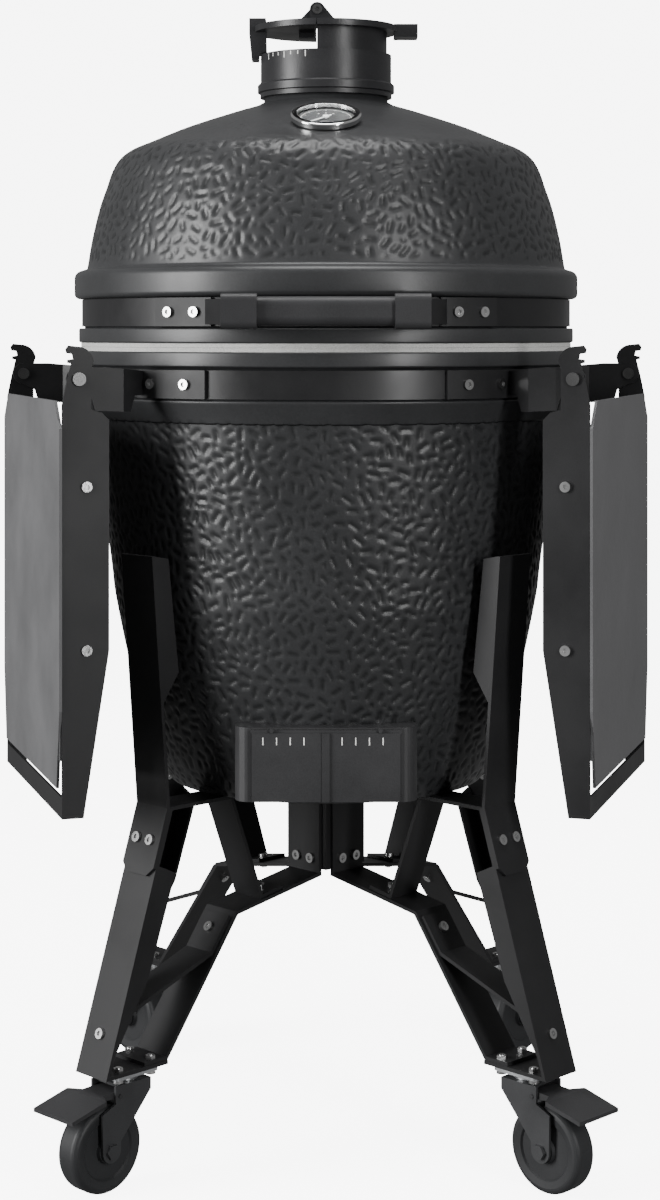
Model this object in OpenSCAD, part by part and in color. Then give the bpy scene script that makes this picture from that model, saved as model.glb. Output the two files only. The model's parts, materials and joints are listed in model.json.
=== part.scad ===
// Kamado ceramic grill with a hinged lid and folding side shelves, on a wheeled stand.
// Millimetres. The floor is Z = 0, the Z axis is the axis of the bowl, and the handle faces -Y.

/* [Bowl and lid] */
// Outer radius of the two ceramic lips
lip_r = 282.4; // [270:0.2:300]
// Radius of the ceramic under the steel bands
groove_r = 275.9; // [262:0.1:290]
// Wall thickness of the bowl and the lid
wall = 26; // [20:1:32]
// Height of the underside of the bowl
bowl_z = 393; // [380:1:420]
// Radius of the flat underside of the bowl
bowl_foot_r = 178; // [170:1:190]
// Height of the top of the bowl's lip
rim_z = 878; // [870:1:890]
// Depth of each lip
lip_h = 16; // [12:1:20]
// Thickness of each felt ring
felt = 4.4; // [3:0.1:6]
// Outer radius of the thick rim above the lid's band
bead_r = 287.5; // [282:0.5:300]
// Outer radius of the neck that carries the vent
neck_r = 71; // [66:1:74]
// Height of the top of the neck
neck_z = 1167; // [1160:1:1180]

/* [Bands] */
// Thickness of the steel bands
band_t = 3; // [2:0.5:4]
// Width of the steel bands
band_h = 30; // [24:1:32]

/* [Handle and hinge] */
// Distance from the axis to the handle's front face, and to the hinge's back
reach = 345; // [340:1:360]
// Overall length of the handle
handle_w = 211; // [180:1:240]
// Height and depth of the handle's end blocks
handle_end = 36; // [30:1:42]
// Length of each end block
handle_end_w = 36; // [28:1:44]
// Height of the middle grip
grip_h = 30; // [24:1:32]
// Radius of the hinge bosses
hinge_boss_r = 13; // [11:0.5:16]
// Radius of the hinge pin
hinge_pin_r = 5; // [4:0.5:6]
// Distance between the hinge's outer faces
hinge_w = 180; // [150:1:200]

/* [Vent] */
// Outer radius of the vent's lower drum
drum_r = 75; // [73:0.5:80]
// Height of the lower drum above its flange
drum_h = 33; // [26:1:36]
// Outer radius of the half sleeve
sleeve_r = 70; // [66:0.5:71]
// Radius of the cap disc
cap_r = 82; // [80:0.5:90]
// Height from the drum's rim to the underside of the cap
cap_gap = 26; // [20:1:32]
// Thickness of the cap disc
cap_t = 7; // [5:0.5:9]

/* [Thermometer] */
// Radius of the chrome bezel
bezel_r = 38; // [32:0.5:42]
// Distance from the axis to the centre of the dial
dial_y = 176; // [170:1:185]
// Height of the centre of the dial
dial_z = 1134.4; // [1130:0.2:1142]
// Tilt of the dial from level, towards the front
dial_tilt = 24; // [20:1:30]

/* [Ash door] */
// Overall width of the housing
housing_w = 192; // [180:1:200]
// Height of the housing's underside
housing_z = 406; // [402:1:412]
// Overall height of the housing
housing_h = 78; // [70:1:84]
// Distance from the axis to the housing's front face
housing_y = 233; // [226:1:240]
// Width of each sliding door
door_w = 77.4; // [70:0.2:80]
// Thickness of the tongue that each door slides on
door_t = 3; // [2:0.5:4]
// Thickness of each door's front plate
door_plate = 1.5; // [1:0.5:2.5]
// Width of the air opening behind the doors
duct_w = 130; // [100:1:140]

/* [Shelves] */
// Angle by which each shelf is set forward of the side
shelf_turn = 17.5; // [10:0.5:22]
// Distance from the axis to the outer face of a folded shelf
shelf_face = 343; // [338:1:360]
// Length of a shelf along its hinge
shelf_len = 340; // [320:1:350]
// Height of the hinge-side edge of a folded shelf
shelf_top_z = 815; // [805:1:822]
// Height of the outer edge of a folded shelf
shelf_end_z = 424; // [400:1:450]
// Depth of the shelf's sides
shelf_depth = 50; // [42:1:52]
// Thickness of the shelf's sheet metal
sheet = 3; // [2:0.5:3]
// Distance from the axis to the shelf pivots
pivot_u = 322; // [316:1:328]
// Height of the shelf pivots
pivot_z = 850; // [840:1:856]
// Radius of the shelf pivot pins
pivot_r = 4; // [3:0.5:5]
// Width of the arms at the pivots
arm_w = 26; // [22:1:30]

/* [Stand] */
// Width of the stand's arms and legs
strip_w = 50; // [44:1:56]
// Thickness of the stand's plate
plate = 4; // [3:0.5:5]
// Height of the tops of the upper arms
arm_top_z = 662; // [600:1:700]
// Distance from the axis to the tops of the upper arms
arm_top_r = 280.5; // [276:0.5:290]
// Distance from the axis to the tops of the lower legs
knee_r = 259; // [250:1:270]
// Distance from the axis to the outer ends of the feet
foot_r = 347; // [335:1:360]
// Height of the underside of the feet
foot_z = 122; // [118:1:130]
// Half the width across the square hub
hub_half = 31; // [27:1:34]
// Radius of the shanks of the stand's bolts
bolt_r = 3; // [2.5:0.5:4]

/* [Casters] */
// Radius of the wheels
wheel_r = 46; // [40:1:48]
// Width of the wheels
wheel_w = 30; // [24:1:34]
// Distance from the axis to the swivels
swivel_r = 302; // [290:1:310]
// Distance from a swivel to its wheel's axle
trail = 33; // [28:1:38]
// Radius of the axles
axle_r = 5; // [4:0.5:6]

/* [Fire parts] */
// Height of the top of the firebox
firebox_z = 660; // [640:1:680]
// Height of the top of the fire ring
ring_z = 850; // [840:1:858]
// Radius of the cooking grate
grate_r = 240; // [225:1:245]
// Radius of the charcoal grate
coal_grate_r = 112; // [100:1:118]

/* [Hidden] */
$fn = 96;

// Azimuths of the four corners of the stand
FRONT_LEFT = 225;
FRONT_RIGHT = 315;
REAR_LEFT = 135;
REAR_RIGHT = 45;
CORNERS = [FRONT_LEFT, FRONT_RIGHT, REAR_LEFT, REAR_RIGHT];
FRONT = 270;
REAR = 90;

// Clearances: plates that lie on curved bands, bolts in their holes, and pins that turn
seat = 0.1;
bolt_play = 0.2;
running = 0.05;

// Heights of the lid's and the bowl's parts
felt_gap = 0.2;
lid_z = rim_z + 2 * felt + felt_gap;
lid_band_z = lid_z + lip_h + 2;
base_band_z = rim_z - lip_h - 3 - band_h;
band_in = groove_r + seat;
band_out = band_in + band_t;
bowl_in_r = lip_r - wall - 2.4;
bowl_floor_z = bowl_z + 24;

// Handle: height of its middle, and azimuths of its bolts from the front
handle_z = lid_band_z + band_h / 2;
handle_bolt_angles = [29, 35.7];
shelf_bolt_angles = [31.5, 40.7];
hinge_bolt_angles = [7, 13];

// Hinge pin
hinge_y = reach - hinge_boss_r;
hinge_z = rim_z + felt;
hinge_plate = 4;

// Vent
vent_z = neck_z;
flange_h = 16;
flange_r = drum_r + 3.5;
drum_z = vent_z + flange_h;
drum_top = drum_z + drum_h;
cap_z = drum_top + cap_gap;
cap_split = -10;
flap_pin_z = cap_z + cap_t + 17;
flap_pin_r = 3;

// Shelves
arm_v = shelf_len / 2 - 1 - sheet;
ear_v = arm_v - 2;
ear_t = 4;
shelf_bar_z = shelf_end_z - 30;
taper_z = 567;

// Stand: a leg's outer face runs from the knee to the foot
knee_z = bowl_z;
leg_run = foot_r - knee_r;
leg_drop = knee_z - foot_z;
leg_tilt = atan(leg_run / leg_drop);
plate_run = plate / cos(leg_tilt);
strut_foot = [foot_r - 85, foot_z + plate];
strut_knee = [160, 262];
strut_end = [hub_half, 283];
strut_top_z = 378;
strut_tilt = atan((strut_end[1] - strut_knee[1]) / (strut_knee[0] - strut_end[0]));
brace_w = strip_w - 10;
knee_bolt_z = 358;
brace_bolt_z = 164;

// Casters
mount_t = 4;
race_h = 5.5;
fork_gap = 0.3;
fork_top = foot_z - mount_t - race_h - fork_gap;
fork_t = 3;
fork_in = wheel_w / 2 + 2.5;
kingpin_r = 5;
wheel_x = swivel_r + trail;
pedal_pin = [swivel_r + 22, 101];
pedal_pin_r = 2.5;

// ---------- points and outlines ----------

// Item of a list, held to its ends
function held(p, i) = p[max(0, min(len(p) - 1, i))];

// Point on a smooth curve from b to c, led by a and d
function blend(a, b, c, d, t) = 0.5 * (2 * b + (c - a) * t + (2 * a - 5 * b + 4 * c - d) * t * t
    + (3 * b - a - 3 * c + d) * t * t * t);

// Smooth path through points, with n steps between each two
function smooth(p, n) = concat(
    [for (i = [0 : len(p) - 2], k = [0 : n - 1])
        blend(held(p, i - 1), p[i], held(p, i + 1), held(p, i + 2), k / n)],
    [p[len(p) - 1]]);

// Points on an arc round c
function arc(c, r, from, to, n) = [for (i = [0 : n])
    c + r * [cos(from + (to - from) * i / n), sin(from + (to - from) * i / n)]];

function reversed(p) = [for (i = [len(p) - 1 : -1 : 0]) p[i]];
function unit(v) = v / norm(v);
function left_of(v) = [-v[1], v[0]];
function heading(p, i) = unit(p[i + 1] - p[i]);

// Step from a path's corner to its parallel path, for a thickness of one
function corner_step(p, i) =
    let (a = left_of(heading(p, max(0, i - 1))),
        b = left_of(heading(p, min(len(p) - 2, i))))
    (a + b) / (1 + a * b);

function thick_path(p, t) = concat(p,
    [for (i = [len(p) - 1 : -1 : 0]) p[i] + t * corner_step(p, i)]);

// Distance from the axis to a leg's outer and inner faces at height z
function leg_outer(z) = knee_r + (knee_z - z) * leg_run / leg_drop;
function leg_inner(z) = leg_outer(z) - plate_run;

// Height of the top face of a strut's inner part at distance x
function strut_top(x) = strut_knee[1] + (strut_knee[0] - x) * tan(strut_tilt)
    + plate / cos(strut_tilt);

// Point on a strut's sloping part at height z, and the direction out of its face
strut_slope = unit(strut_knee - strut_foot);
strut_out = -left_of(strut_slope);
function strut_face(z) = strut_foot + strut_slope * (z - strut_foot[1]) / strut_slope[1]
    + plate * strut_out;

// ---------- helpers ----------

// Draws an outline of distance and height at an azimuth, with the width w across it
module upright(azimuth, w, across = 0) {
    rotate([0, 0, azimuth])
        translate([0, across, 0])
            rotate([90, 0, 0])
                linear_extrude(w, center = true)
                    children();
}

module bent_strip(p, t, w) {
    rotate([90, 0, 0])
        linear_extrude(w, center = true)
            polygon(thick_path(p, t));
}

// Rectangle with round corners, centred
module round_rect(w, h, r) {
    square([w, h - 2 * r], center = true);
    square([w - 2 * r, h], center = true);
    for (x = [-1, 1], y = [-1, 1])
        translate([x * (w / 2 - r), y * (h / 2 - r)])
            circle(r, $fn = 32);
}

// Puts children at a radius and height, with their +Z pointing out from the axis
module facing_out(azimuth, r, z) {
    rotate([0, 0, azimuth])
        translate([r, 0, z])
            rotate([0, 90, 0])
                children();
}

// Bolt with a socket head above Z = 0, a shank and a nut under the grip
module bolt(r, grip, nut = true) {
    head_r = r * 1.85;
    head_h = r * 1.1;
    nut_h = r * 1.3;
    difference() {
        cylinder(h = head_h, r = head_r, $fn = 32);
        translate([0, 0, head_h * 0.4])
            cylinder(h = head_h, r = r * 0.95, $fn = 6);
    }
    translate([0, 0, -grip - (nut ? nut_h + 1 : 0)])
        cylinder(h = grip + (nut ? nut_h + 1 : 0) + 0.2, r = r, $fn = 24);
    if (nut)
        translate([0, 0, -grip - nut_h])
            cylinder(h = nut_h, r = r * 1.8, $fn = 6);
}

// Curved plate round the Z axis between two azimuths
module curved_plate(r_in, r_out, z, h, from, to) {
    translate([0, 0, z])
        rotate([0, 0, from])
            rotate_extrude(angle = to - from, $fn = 180)
                translate([r_in, 0])
                    square([r_out - r_in, h]);
}

// ---------- ceramic bowl and lid ----------

module bowl_outline() {
    side = smooth([[groove_r + 1.5, base_band_z - 4], [groove_r - 8, base_band_z - 26],
        [groove_r - 11, base_band_z - 39], [246, 642], [239, 590], [214, 475], [196, 420],
        [bowl_foot_r, bowl_z]], 4);
    cavity = smooth([[150, bowl_floor_z], [168, 432], [214 - wall, 475], [239 - wall, 590],
        [246 - wall, 642], [groove_r - 11 - wall, base_band_z - 39], [bowl_in_r, 850],
        [bowl_in_r, rim_z]], 4);
    polygon(concat(
        [[lip_r - 2, rim_z]], arc([lip_r - 2, rim_z - 2], 2, 90, 0, 4),
        arc([lip_r - 2, rim_z - lip_h + 2], 2, 0, -90, 4),
        [[groove_r, rim_z - lip_h], [groove_r, base_band_z - 2], [groove_r + 1.5, base_band_z - 2]],
        side, [[0, bowl_z], [0, bowl_floor_z]], cavity));
}

module base_shell() {
    color([0.13, 0.14, 0.15])
        difference() {
            rotate_extrude($fn = 180)
                bowl_outline();
            translate([-housing_w / 2 - 1, -housing_y, housing_z - 1])
                cube([housing_w + 2, housing_y - 130, housing_h + 2]);
        }
}

// Line of the outside of the lid, from the thick rim to the neck
module lid_outline() {
    rim_top = lid_band_z + band_h + 2;
    side = smooth([[272.5, rim_top + 37], [267.4, 1004], [259, 1039], [250.5, 1064], [245, 1080],
        [237, 1094], [224, 1104.5], [202, 1114], [161, 1131], [109, 1148.5], [neck_r + 8, 1157.5],
        [neck_r, 1162]], 4);
    cavity = smooth([[50, 1140], [60, 1134], [120, 1114], [180, 1094], [213, 1076], [228, 1050],
        [241, 1004], [248, 960], [bowl_in_r, lid_z + 20], [bowl_in_r, lid_z]], 4);
    polygon(concat(
        arc([lip_r - 2, lid_z + 2], 2, -90, 0, 4),
        arc([lip_r - 2, lid_z + lip_h - 2], 2, 0, 90, 4),
        [[groove_r, lid_z + lip_h], [groove_r, rim_top - 1]],
        arc([bead_r - 6, rim_top + 5], 6, -90, 0, 6),
        arc([bead_r - 9, rim_top + 22], 9, 0, 80, 6),
        [[273.4, rim_top + 33]], side, [[neck_r, neck_z], [50, neck_z]], cavity));
}

module lid_shell() {
    color([0.13, 0.14, 0.15])
        difference() {
            rotate_extrude($fn = 180)
                lid_outline();
            at_dial()
                translate([0, 0, -case_h])
                    cylinder(h = 60, r = case_r + 0.5);
            at_dial()
                translate([0, 0, -80])
                    cylinder(h = 80, r = stem_r + 1);
        }
}

// Felt rings on the two lips
module felt_ring(z) {
    color([0.5, 0.5, 0.5])
        rotate_extrude($fn = 180)
            translate([bowl_in_r + 2, z])
                square([lip_r - 2 - bowl_in_r - 2.5, felt]);
}

module base_gasket() {
    felt_ring(rim_z);
}

module lid_gasket() {
    felt_ring(lid_z - felt);
}

// Clamp band, with a hole for each bolt
module band(z, bolt_azimuths) {
    color([0.08, 0.08, 0.09])
        difference() {
            rotate_extrude($fn = 180)
                translate([band_in, z])
                    square([band_t, band_h]);
            for (a = bolt_azimuths)
                facing_out(a, band_in - 1, z + band_h / 2)
                    cylinder(h = band_t + 2, r = bolt_r + bolt_play, $fn = 24);
        }
}

handle_bolts = [for (s = [-1, 1], a = handle_bolt_angles) FRONT + s * a];
hinge_bolts = [for (s = [-1, 1], a = hinge_bolt_angles) REAR + s * a];
shelf_bolts = [for (s = [-1, 1], e = [-1, 1], a = shelf_bolt_angles)
    FRONT + s * (90 - shelf_turn + e * (90 - shelf_turn - a))];

module base_band() {
    band(base_band_z, concat(hinge_bolts, shelf_bolts));
}

module lid_band() {
    band(lid_band_z, concat(hinge_bolts, handle_bolts));
}

// Bolts that hold a plate on a band, sunk to end flush with the band's inside
module band_bolt(azimuth, z) {
    facing_out(azimuth, band_out + seat + hinge_plate + 0.05, z)
        bolt(bolt_r, hinge_plate + band_t + 0.1, nut = false);
}

module base_bolts() {
    color([0.8, 0.8, 0.8])
        for (a = concat(hinge_bolts, shelf_bolts))
            band_bolt(a, base_band_z + band_h / 2);
}

module lid_bolts() {
    color([0.8, 0.8, 0.8])
        for (a = concat(hinge_bolts, handle_bolts))
            band_bolt(a, lid_band_z + band_h / 2);
}

// Plate that lies on a band between two azimuths, with its bolt holes
module band_plate(z, h, from, to, bolts) {
    r_in = band_out + seat;
    difference() {
        curved_plate(r_in, r_in + hinge_plate, z, h, from, to);
        for (a = bolts)
            facing_out(a, r_in - 1, z + h / 2)
                cylinder(h = hinge_plate + 2, r = bolt_r + bolt_play, $fn = 24);
    }
}

// ---------- rear hinge ----------

// Ear in the YZ plane, from a band plate to the hinge pin
module hinge_ear(x, t, points) {
    translate([x, 0, 0])
        rotate([90, 0, 90])
            linear_extrude(t)
                difference() {
                    union() {
                        polygon(points);
                        translate([hinge_y, hinge_z])
                            circle(hinge_boss_r);
                    }
                    translate([hinge_y, hinge_z])
                        circle(hinge_pin_r + running);
                }
}

hinge_half_angle = 16;
ear_back = sqrt(pow(band_out + seat + 1, 2) - pow(hinge_w / 2, 2)) + hinge_plate / 2;

module base_hinge_bracket() {
    z = base_band_z;
    color([0.08, 0.08, 0.09]) {
        band_plate(z, band_h, REAR - hinge_half_angle - 3, REAR + hinge_half_angle + 3, hinge_bolts);
        for (s = [0, 1])
            mirror([s, 0, 0])
                hinge_ear(hinge_w / 2 - hinge_plate, hinge_plate, [[ear_back, z + 2],
                    [ear_back + 12, z + 2], [hinge_y + hinge_boss_r, hinge_z],
                    [hinge_y - hinge_boss_r, hinge_z], [ear_back, z + band_h]]);
    }
}

module lid_hinge_bracket() {
    z = lid_band_z;
    x = hinge_w / 2 - 2 * hinge_plate - 1;
    back = sqrt(pow(band_out + seat + 1, 2) - pow(x, 2)) + hinge_plate / 2;
    color([0.08, 0.08, 0.09]) {
        band_plate(z, band_h, REAR - hinge_half_angle, REAR + hinge_half_angle, hinge_bolts);
        for (s = [0, 1])
            mirror([s, 0, 0])
                hinge_ear(x, hinge_plate, [[back, z], [hinge_y - hinge_boss_r, hinge_z],
                    [hinge_y + hinge_boss_r, hinge_z], [back + 16, z + band_h - 3],
                    [back, z + band_h - 3]]);
    }
}

module hinge_pin() {
    head = 3;
    color([0.7, 0.7, 0.7])
        translate([0, hinge_y, hinge_z])
            rotate([0, 90, 0]) {
                cylinder(h = hinge_w + 4, r = hinge_pin_r, center = true, $fn = 48);
                for (s = [-1, 1])
                    translate([0, 0, s * (hinge_w / 2 + 0.5 + head / 2)])
                        cylinder(h = head, r = hinge_pin_r + 2, center = true, $fn = 48);
            }
}

// Two close-wound springs round the pin; each ring of the outline is one turn
module hinge_springs() {
    wire = 3;
    turns = 16;
    inner = hinge_pin_r + 0.6;
    color([0.6, 0.6, 0.6])
        for (s = [-1, 1])
            translate([s * 42, hinge_y, hinge_z])
                rotate([0, 90, 0])
                    rotate_extrude($fn = 48)
                        translate([inner, -turns * wire / 2])
                            polygon(concat([[0, 0]], [for (i = [0 : turns - 1], k = [0 : 3])
                                [wire + 0.5 - 0.9 * abs(k - 1.5) / 1.5, (i + (k + 0.5) / 4) * wire]],
                                [[0, turns * wire]]));
}

// ---------- fire parts inside the bowl ----------

module firebox() {
    color([0.55, 0.42, 0.33])
        difference() {
            rotate_extrude($fn = 120)
                polygon([[coal_grate_r - 14, bowl_floor_z], [140, bowl_floor_z], [152, 440], [178, 500],
                    [197, 580], [214, firebox_z], [190, firebox_z], [174, 580], [150, 516],
                    [coal_grate_r + 4, 508], [coal_grate_r + 4, 500], [coal_grate_r - 14, 500]]);
            translate([-50, -200, bowl_floor_z + 8])
                cube([100, 120, 54]);
            for (a = [15 : 30 : 345])
                rotate([0, 0, a])
                    translate([150, 0, 560])
                        rotate([0, 90, 0])
                            cylinder(h = 80, r = 9, $fn = 32);
        }
}

module fire_ring() {
    color([0.55, 0.42, 0.33])
        rotate_extrude($fn = 120)
            polygon([[192, firebox_z], [214, firebox_z], [241, ring_z], [217, ring_z]]);
}

module charcoal_grate() {
    color([0.2, 0.2, 0.2])
        difference() {
            translate([0, 0, 500])
                cylinder(h = 9, r = coal_grate_r, $fn = 96);
            for (i = [-5 : 5]) {
                half = sqrt(pow(coal_grate_r - 12, 2) - pow(i * 17, 2));
                translate([i * 17 - 4.5, -half, 499])
                    cube([9, 2 * half, 11]);
            }
        }
}

module cooking_grate() {
    rod = 3;
    pitch = 16;
    count = 13;
    z = ring_z + 5;
    color([0.75, 0.75, 0.75]) {
        rotate_extrude($fn = 120)
            translate([grate_r - 6, ring_z])
                square([6, 8]);
        for (i = [-count : count])
            translate([i * pitch, 0, z])
                rotate([90, 0, 0])
                    cylinder(h = 2 * sqrt(pow(grate_r - 3, 2) - pow(i * pitch, 2)), r = rod,
                        center = true, $fn = 16);
        for (s = [-1, 1])
            translate([0, s * 110, ring_z + 2.5])
                rotate([0, 90, 0])
                    cylinder(h = 2 * sqrt(pow(grate_r - 3, 2) - 110 * 110), r = 2, center = true,
                        $fn = 16);
    }
}

// ---------- ash door ----------

door_z = housing_z + 6;
door_h = housing_h - 12;
door_gap = 0.3;
cheek_r = 17;
rail_t = 2;
rail_lip = 2.5;

// Housing seen from above: a flat front with round cheeks that run back into the bowl
module housing_plan() {
    half = housing_w / 2;
    polygon(concat([[half, -172], [-half, -172]],
        arc([-half + cheek_r, -housing_y + cheek_r], cheek_r, 180, 270, 8),
        arc([half - cheek_r, -housing_y + cheek_r], cheek_r, 270, 360, 8)));
}

module ash_door_frame() {
    rail = rail_t;
    lip = rail_lip;
    front = housing_y + door_t + 0.6;
    rail_half = housing_w / 2 - cheek_r;
    color([0.1, 0.1, 0.11]) {
        difference() {
            translate([0, 0, housing_z])
                linear_extrude(housing_h)
                    housing_plan();
            translate([-duct_w / 2, -housing_y - 1, door_z + 5])
                cube([duct_w, 100, door_h - 10]);
        }
        for (top = [0, 1]) {
            z = top ? door_z + door_h + 0.3 : door_z - 0.3 - rail * 2;
            translate([-rail_half, -front - rail, z])
                cube([2 * rail_half, front + rail - housing_y + 1, rail * 2]);
            translate([-rail_half, -front - rail, top ? z - lip : z + rail * 2 - 0.1])
                cube([2 * rail_half, rail, lip + 0.1]);
        }
        for (s = [-1, 1])
            translate([s * 57, -front - rail, door_z + door_h + rail + 2])
                rotate([90, 0, 0])
                    cylinder(h = 3.5, r = 2.2, $fn = 32);
    }
}

// Sliding door: a tongue between the rails, a web, and a front plate with four grooves along its top
module ash_door(side) {
    slot = rail_lip + 0.6;
    web = rail_t + 1;
    back = -housing_y - 0.3 - door_t;
    pitch = 14.3;
    first = side > 0 ? 16.2 : -66.6;
    color([0.12, 0.12, 0.13]) {
        translate([side > 0 ? door_gap : -door_gap - door_w, back, door_z])
            cube([door_w, door_t, door_h]);
        translate([side > 0 ? door_gap : -door_gap - door_w, back - web, door_z + slot])
            cube([door_w, web, door_h - 2 * slot]);
        difference() {
            translate([side > 0 ? door_gap : -door_gap - door_w, back - web - door_plate, housing_z + 1.5])
                cube([door_w, door_plate, housing_h - 6]);
            for (i = [0 : 3])
                translate([first + i * pitch, back - web - door_plate - 1, housing_z + housing_h - 17])
                    cube([1.2, 1.4, 8]);
        }
        if (side < 0) {
            translate([-door_gap - 4, back - web - door_plate - 1.5, housing_z + 1.5])
                cube([4, 1.5, housing_h - 6]);
            translate([-door_gap - 1, back - web - door_plate - 1.5, housing_z + 1.5])
                cube([5, 1.2, housing_h - 6]);
        }
    }
}

module ash_door_left() {
    ash_door(-1);
}

module ash_door_right() {
    ash_door(1);
}

// ---------- handle ----------

handle_end_x = handle_w / 2 - handle_end_w / 2;

// Bracket plates on the band, each with a folded arm that ends flat on the handle's end block
module handle_brackets() {
    r_in = band_out + seat;
    start = FRONT + 26;
    tab = 13;
    back = handle_end - reach;
    root = (r_in + hinge_plate - 0.5) * [cos(start + 0.5), sin(start + 0.5)];
    color([0.08, 0.08, 0.09])
        for (s = [0, 1])
            mirror([s, 0, 0]) {
                band_plate(lid_band_z, band_h, start - 1, FRONT + 39.5,
                    [for (a = handle_bolt_angles) FRONT + a]);
                translate([0, 0, lid_band_z + 2])
                    linear_extrude(band_h - 4)
                        polygon(thick_path([[handle_end_x - tab, back], [handle_end_x + tab, back],
                            root], hinge_plate));
            }
}

module handle_block_outline() {
    round_rect(handle_end, handle_end, 7);
}

// Places a handle piece along X at x, with its outline in the YZ plane
module handle_place(x, w) {
    translate([x, -reach + handle_end / 2, handle_z])
        rotate([90, 0, 90])
            linear_extrude(w)
                children();
}

module handle_ends() {
    color([0.1, 0.1, 0.11])
        for (s = [-1, 1])
            handle_place(s * handle_end_x - handle_end_w / 2, handle_end_w)
                handle_block_outline();
}

module handle_grip() {
    color([0.12, 0.12, 0.13])
        handle_place(-handle_w / 2 + handle_end_w, handle_w - 2 * handle_end_w)
            round_rect(grip_h - 3, grip_h, 9);
}

// ---------- vent ----------

module vent_base() {
    collar_r = 49.5;
    color([0.08, 0.08, 0.09])
        rotate_extrude($fn = 120)
            polygon([[collar_r - 4, vent_z - 20], [collar_r, vent_z - 20], [collar_r, vent_z],
                [flange_r - 3, vent_z], [flange_r - 3, vent_z + 5], [flange_r, vent_z + 6],
                [flange_r, drum_z - 2], [flange_r - 2, drum_z], [drum_r, drum_z],
                [drum_r, drum_top], [sleeve_r + 0.6, drum_top], [sleeve_r + 0.6, drum_z],
                [collar_r - 4, drum_z - 6]]);
}

// Half disc of the cap on one side of the split
module cap_half(side) {
    difference() {
        translate([0, 0, cap_z])
            cylinder(h = cap_t, r = cap_r);
        translate([side > 0 ? cap_split - 200 : cap_split - 1.2, -100, cap_z - 1])
            cube([200, 200, cap_t + 2]);
    }
}

// Ear in the XZ plane whose inner face is at y, with a bore for the flap's bolt
module cap_ear(y, t, r, points) {
    translate([0, y, 0])
        rotate([90, 0, 0])
            linear_extrude(t)
                difference() {
                    union() {
                        polygon(points);
                        translate([cap_split, flap_pin_z])
                            circle(r);
                    }
                    translate([cap_split, flap_pin_z])
                        circle(flap_pin_r + running);
                }
}

module vent_hood() {
    top = cap_z + cap_t;
    ear_r = 8.5;
    color([0.08, 0.08, 0.09]) {
        cap_half(1);
        difference() {
            translate([0, 0, drum_z + 3])
                difference() {
                    cylinder(h = cap_z - drum_z - 2, r = sleeve_r);
                    translate([0, 0, -1])
                        cylinder(h = cap_z, r = sleeve_r - 3);
                }
            translate([cap_split - 200, -100, drum_z])
                cube([200, 200, cap_z]);
        }
        for (s = [0, 1])
            mirror([0, s, 0])
                cap_ear(-24, 4, ear_r, [[cap_split - ear_r, flap_pin_z],
                    [cap_split - ear_r, top + 3], [cap_split, top + 3], [cap_split, top - 1],
                    [cap_split + 25, top - 1], [cap_split + 25, top],
                    [cap_split + 6, flap_pin_z + 6]]);
        translate([cap_r - 4, -16, cap_z - 6])
            cube([105 - cap_r + 4, 32, 15]);
    }
}

module vent_flap() {
    top = cap_z + cap_t;
    ear_r = 8;
    tab = cap_r + 6;
    color([0.08, 0.08, 0.09]) {
        cap_half(-1);
        for (s = [0, 1])
            mirror([0, s, 0])
                cap_ear(-19, 4, ear_r, [[cap_split - 26, top - 1], [cap_split - 2, top - 1],
                    [cap_split + ear_r - 2, flap_pin_z - 4], [cap_split - ear_r, flap_pin_z + 1]]);
        rotate([90, 0, 0])
            linear_extrude(26, center = true)
                polygon([[-tab, top + 9], [-cap_r + 13, top + 9], [-cap_r + 14, drum_top + 4],
                    [-drum_r - 1.5, drum_top + 1], [-drum_r - 2, drum_top - 6],
                    [-tab + 3, drum_top - 6], [-tab, drum_top + 24]]);
        translate([cap_split - 21, -8, cap_z - 6])
            cube([18, 16, 7]);
    }
}

// Two bolts along Y, one through each pair of ears, that the flap turns on
module vent_bolts() {
    color([0.5, 0.5, 0.5])
        for (s = [-1, 1])
            translate([cap_split, s * 28, flap_pin_z])
                rotate([s > 0 ? -90 : 90, 0, 0])
                    bolt(flap_pin_r, 9.5, nut = false);
}

// ---------- thermometer ----------

case_r = bezel_r - 3;
case_h = 26;
stem_r = 6;

module at_dial() {
    translate([0, -dial_y, dial_z])
        rotate([dial_tilt, 0, 0])
            children();
}

module thermometer_case() {
    color([0.06, 0.06, 0.06])
        at_dial()
            difference() {
                translate([0, 0, -case_h])
                    cylinder(h = case_h - 5, r = case_r);
                translate([0, 0, -9])
                    cylinder(h = 10, r = case_r - 3);
                translate([0, 0, -case_h - 1])
                    cylinder(h = 30, r = stem_r + 0.1);
            }
}

module thermometer_probe() {
    color([0.7, 0.7, 0.7])
        at_dial() {
            translate([0, 0, -130])
                cylinder(h = 80, r = 3, $fn = 32);
            translate([0, 0, -52])
                cylinder(h = 41, r = stem_r, $fn = 48);
            translate([0, 0, -52])
                cylinder(h = 7, r = 13, $fn = 6);
        }
}

module thermometer_bezel() {
    color([0.85, 0.85, 0.85])
        at_dial()
            rotate_extrude()
                polygon(concat([[case_r + 0.1, -7], [bezel_r - 1, -7]],
                    arc([bezel_r - 2, -2], 2, -30, 90, 6),
                    [[bezel_r - 6, 0], [bezel_r - 6, -1.5], [case_r + 0.1, -1.5]]));
}

module thermometer_dial() {
    color([0.15, 0.15, 0.15])
        at_dial()
            difference() {
                translate([0, 0, -9])
                    cylinder(h = 2, r = case_r - 3.1);
                translate([0, 0, -10])
                    cylinder(h = 4, r = 1.6, $fn = 24);
            }
}

module thermometer_needle() {
    color([0.9, 0.9, 0.9])
        at_dial()
            rotate([0, 0, 225]) {
                translate([-8, -0.8, -5.6])
                    cube([32, 1.6, 0.8]);
                translate([0, 0, -8.8])
                    cylinder(h = 4.2, r = 1.5, $fn = 24);
                translate([0, 0, -5.6])
                    cylinder(h = 1.4, r = 3.5, $fn = 32);
            }
}

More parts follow.
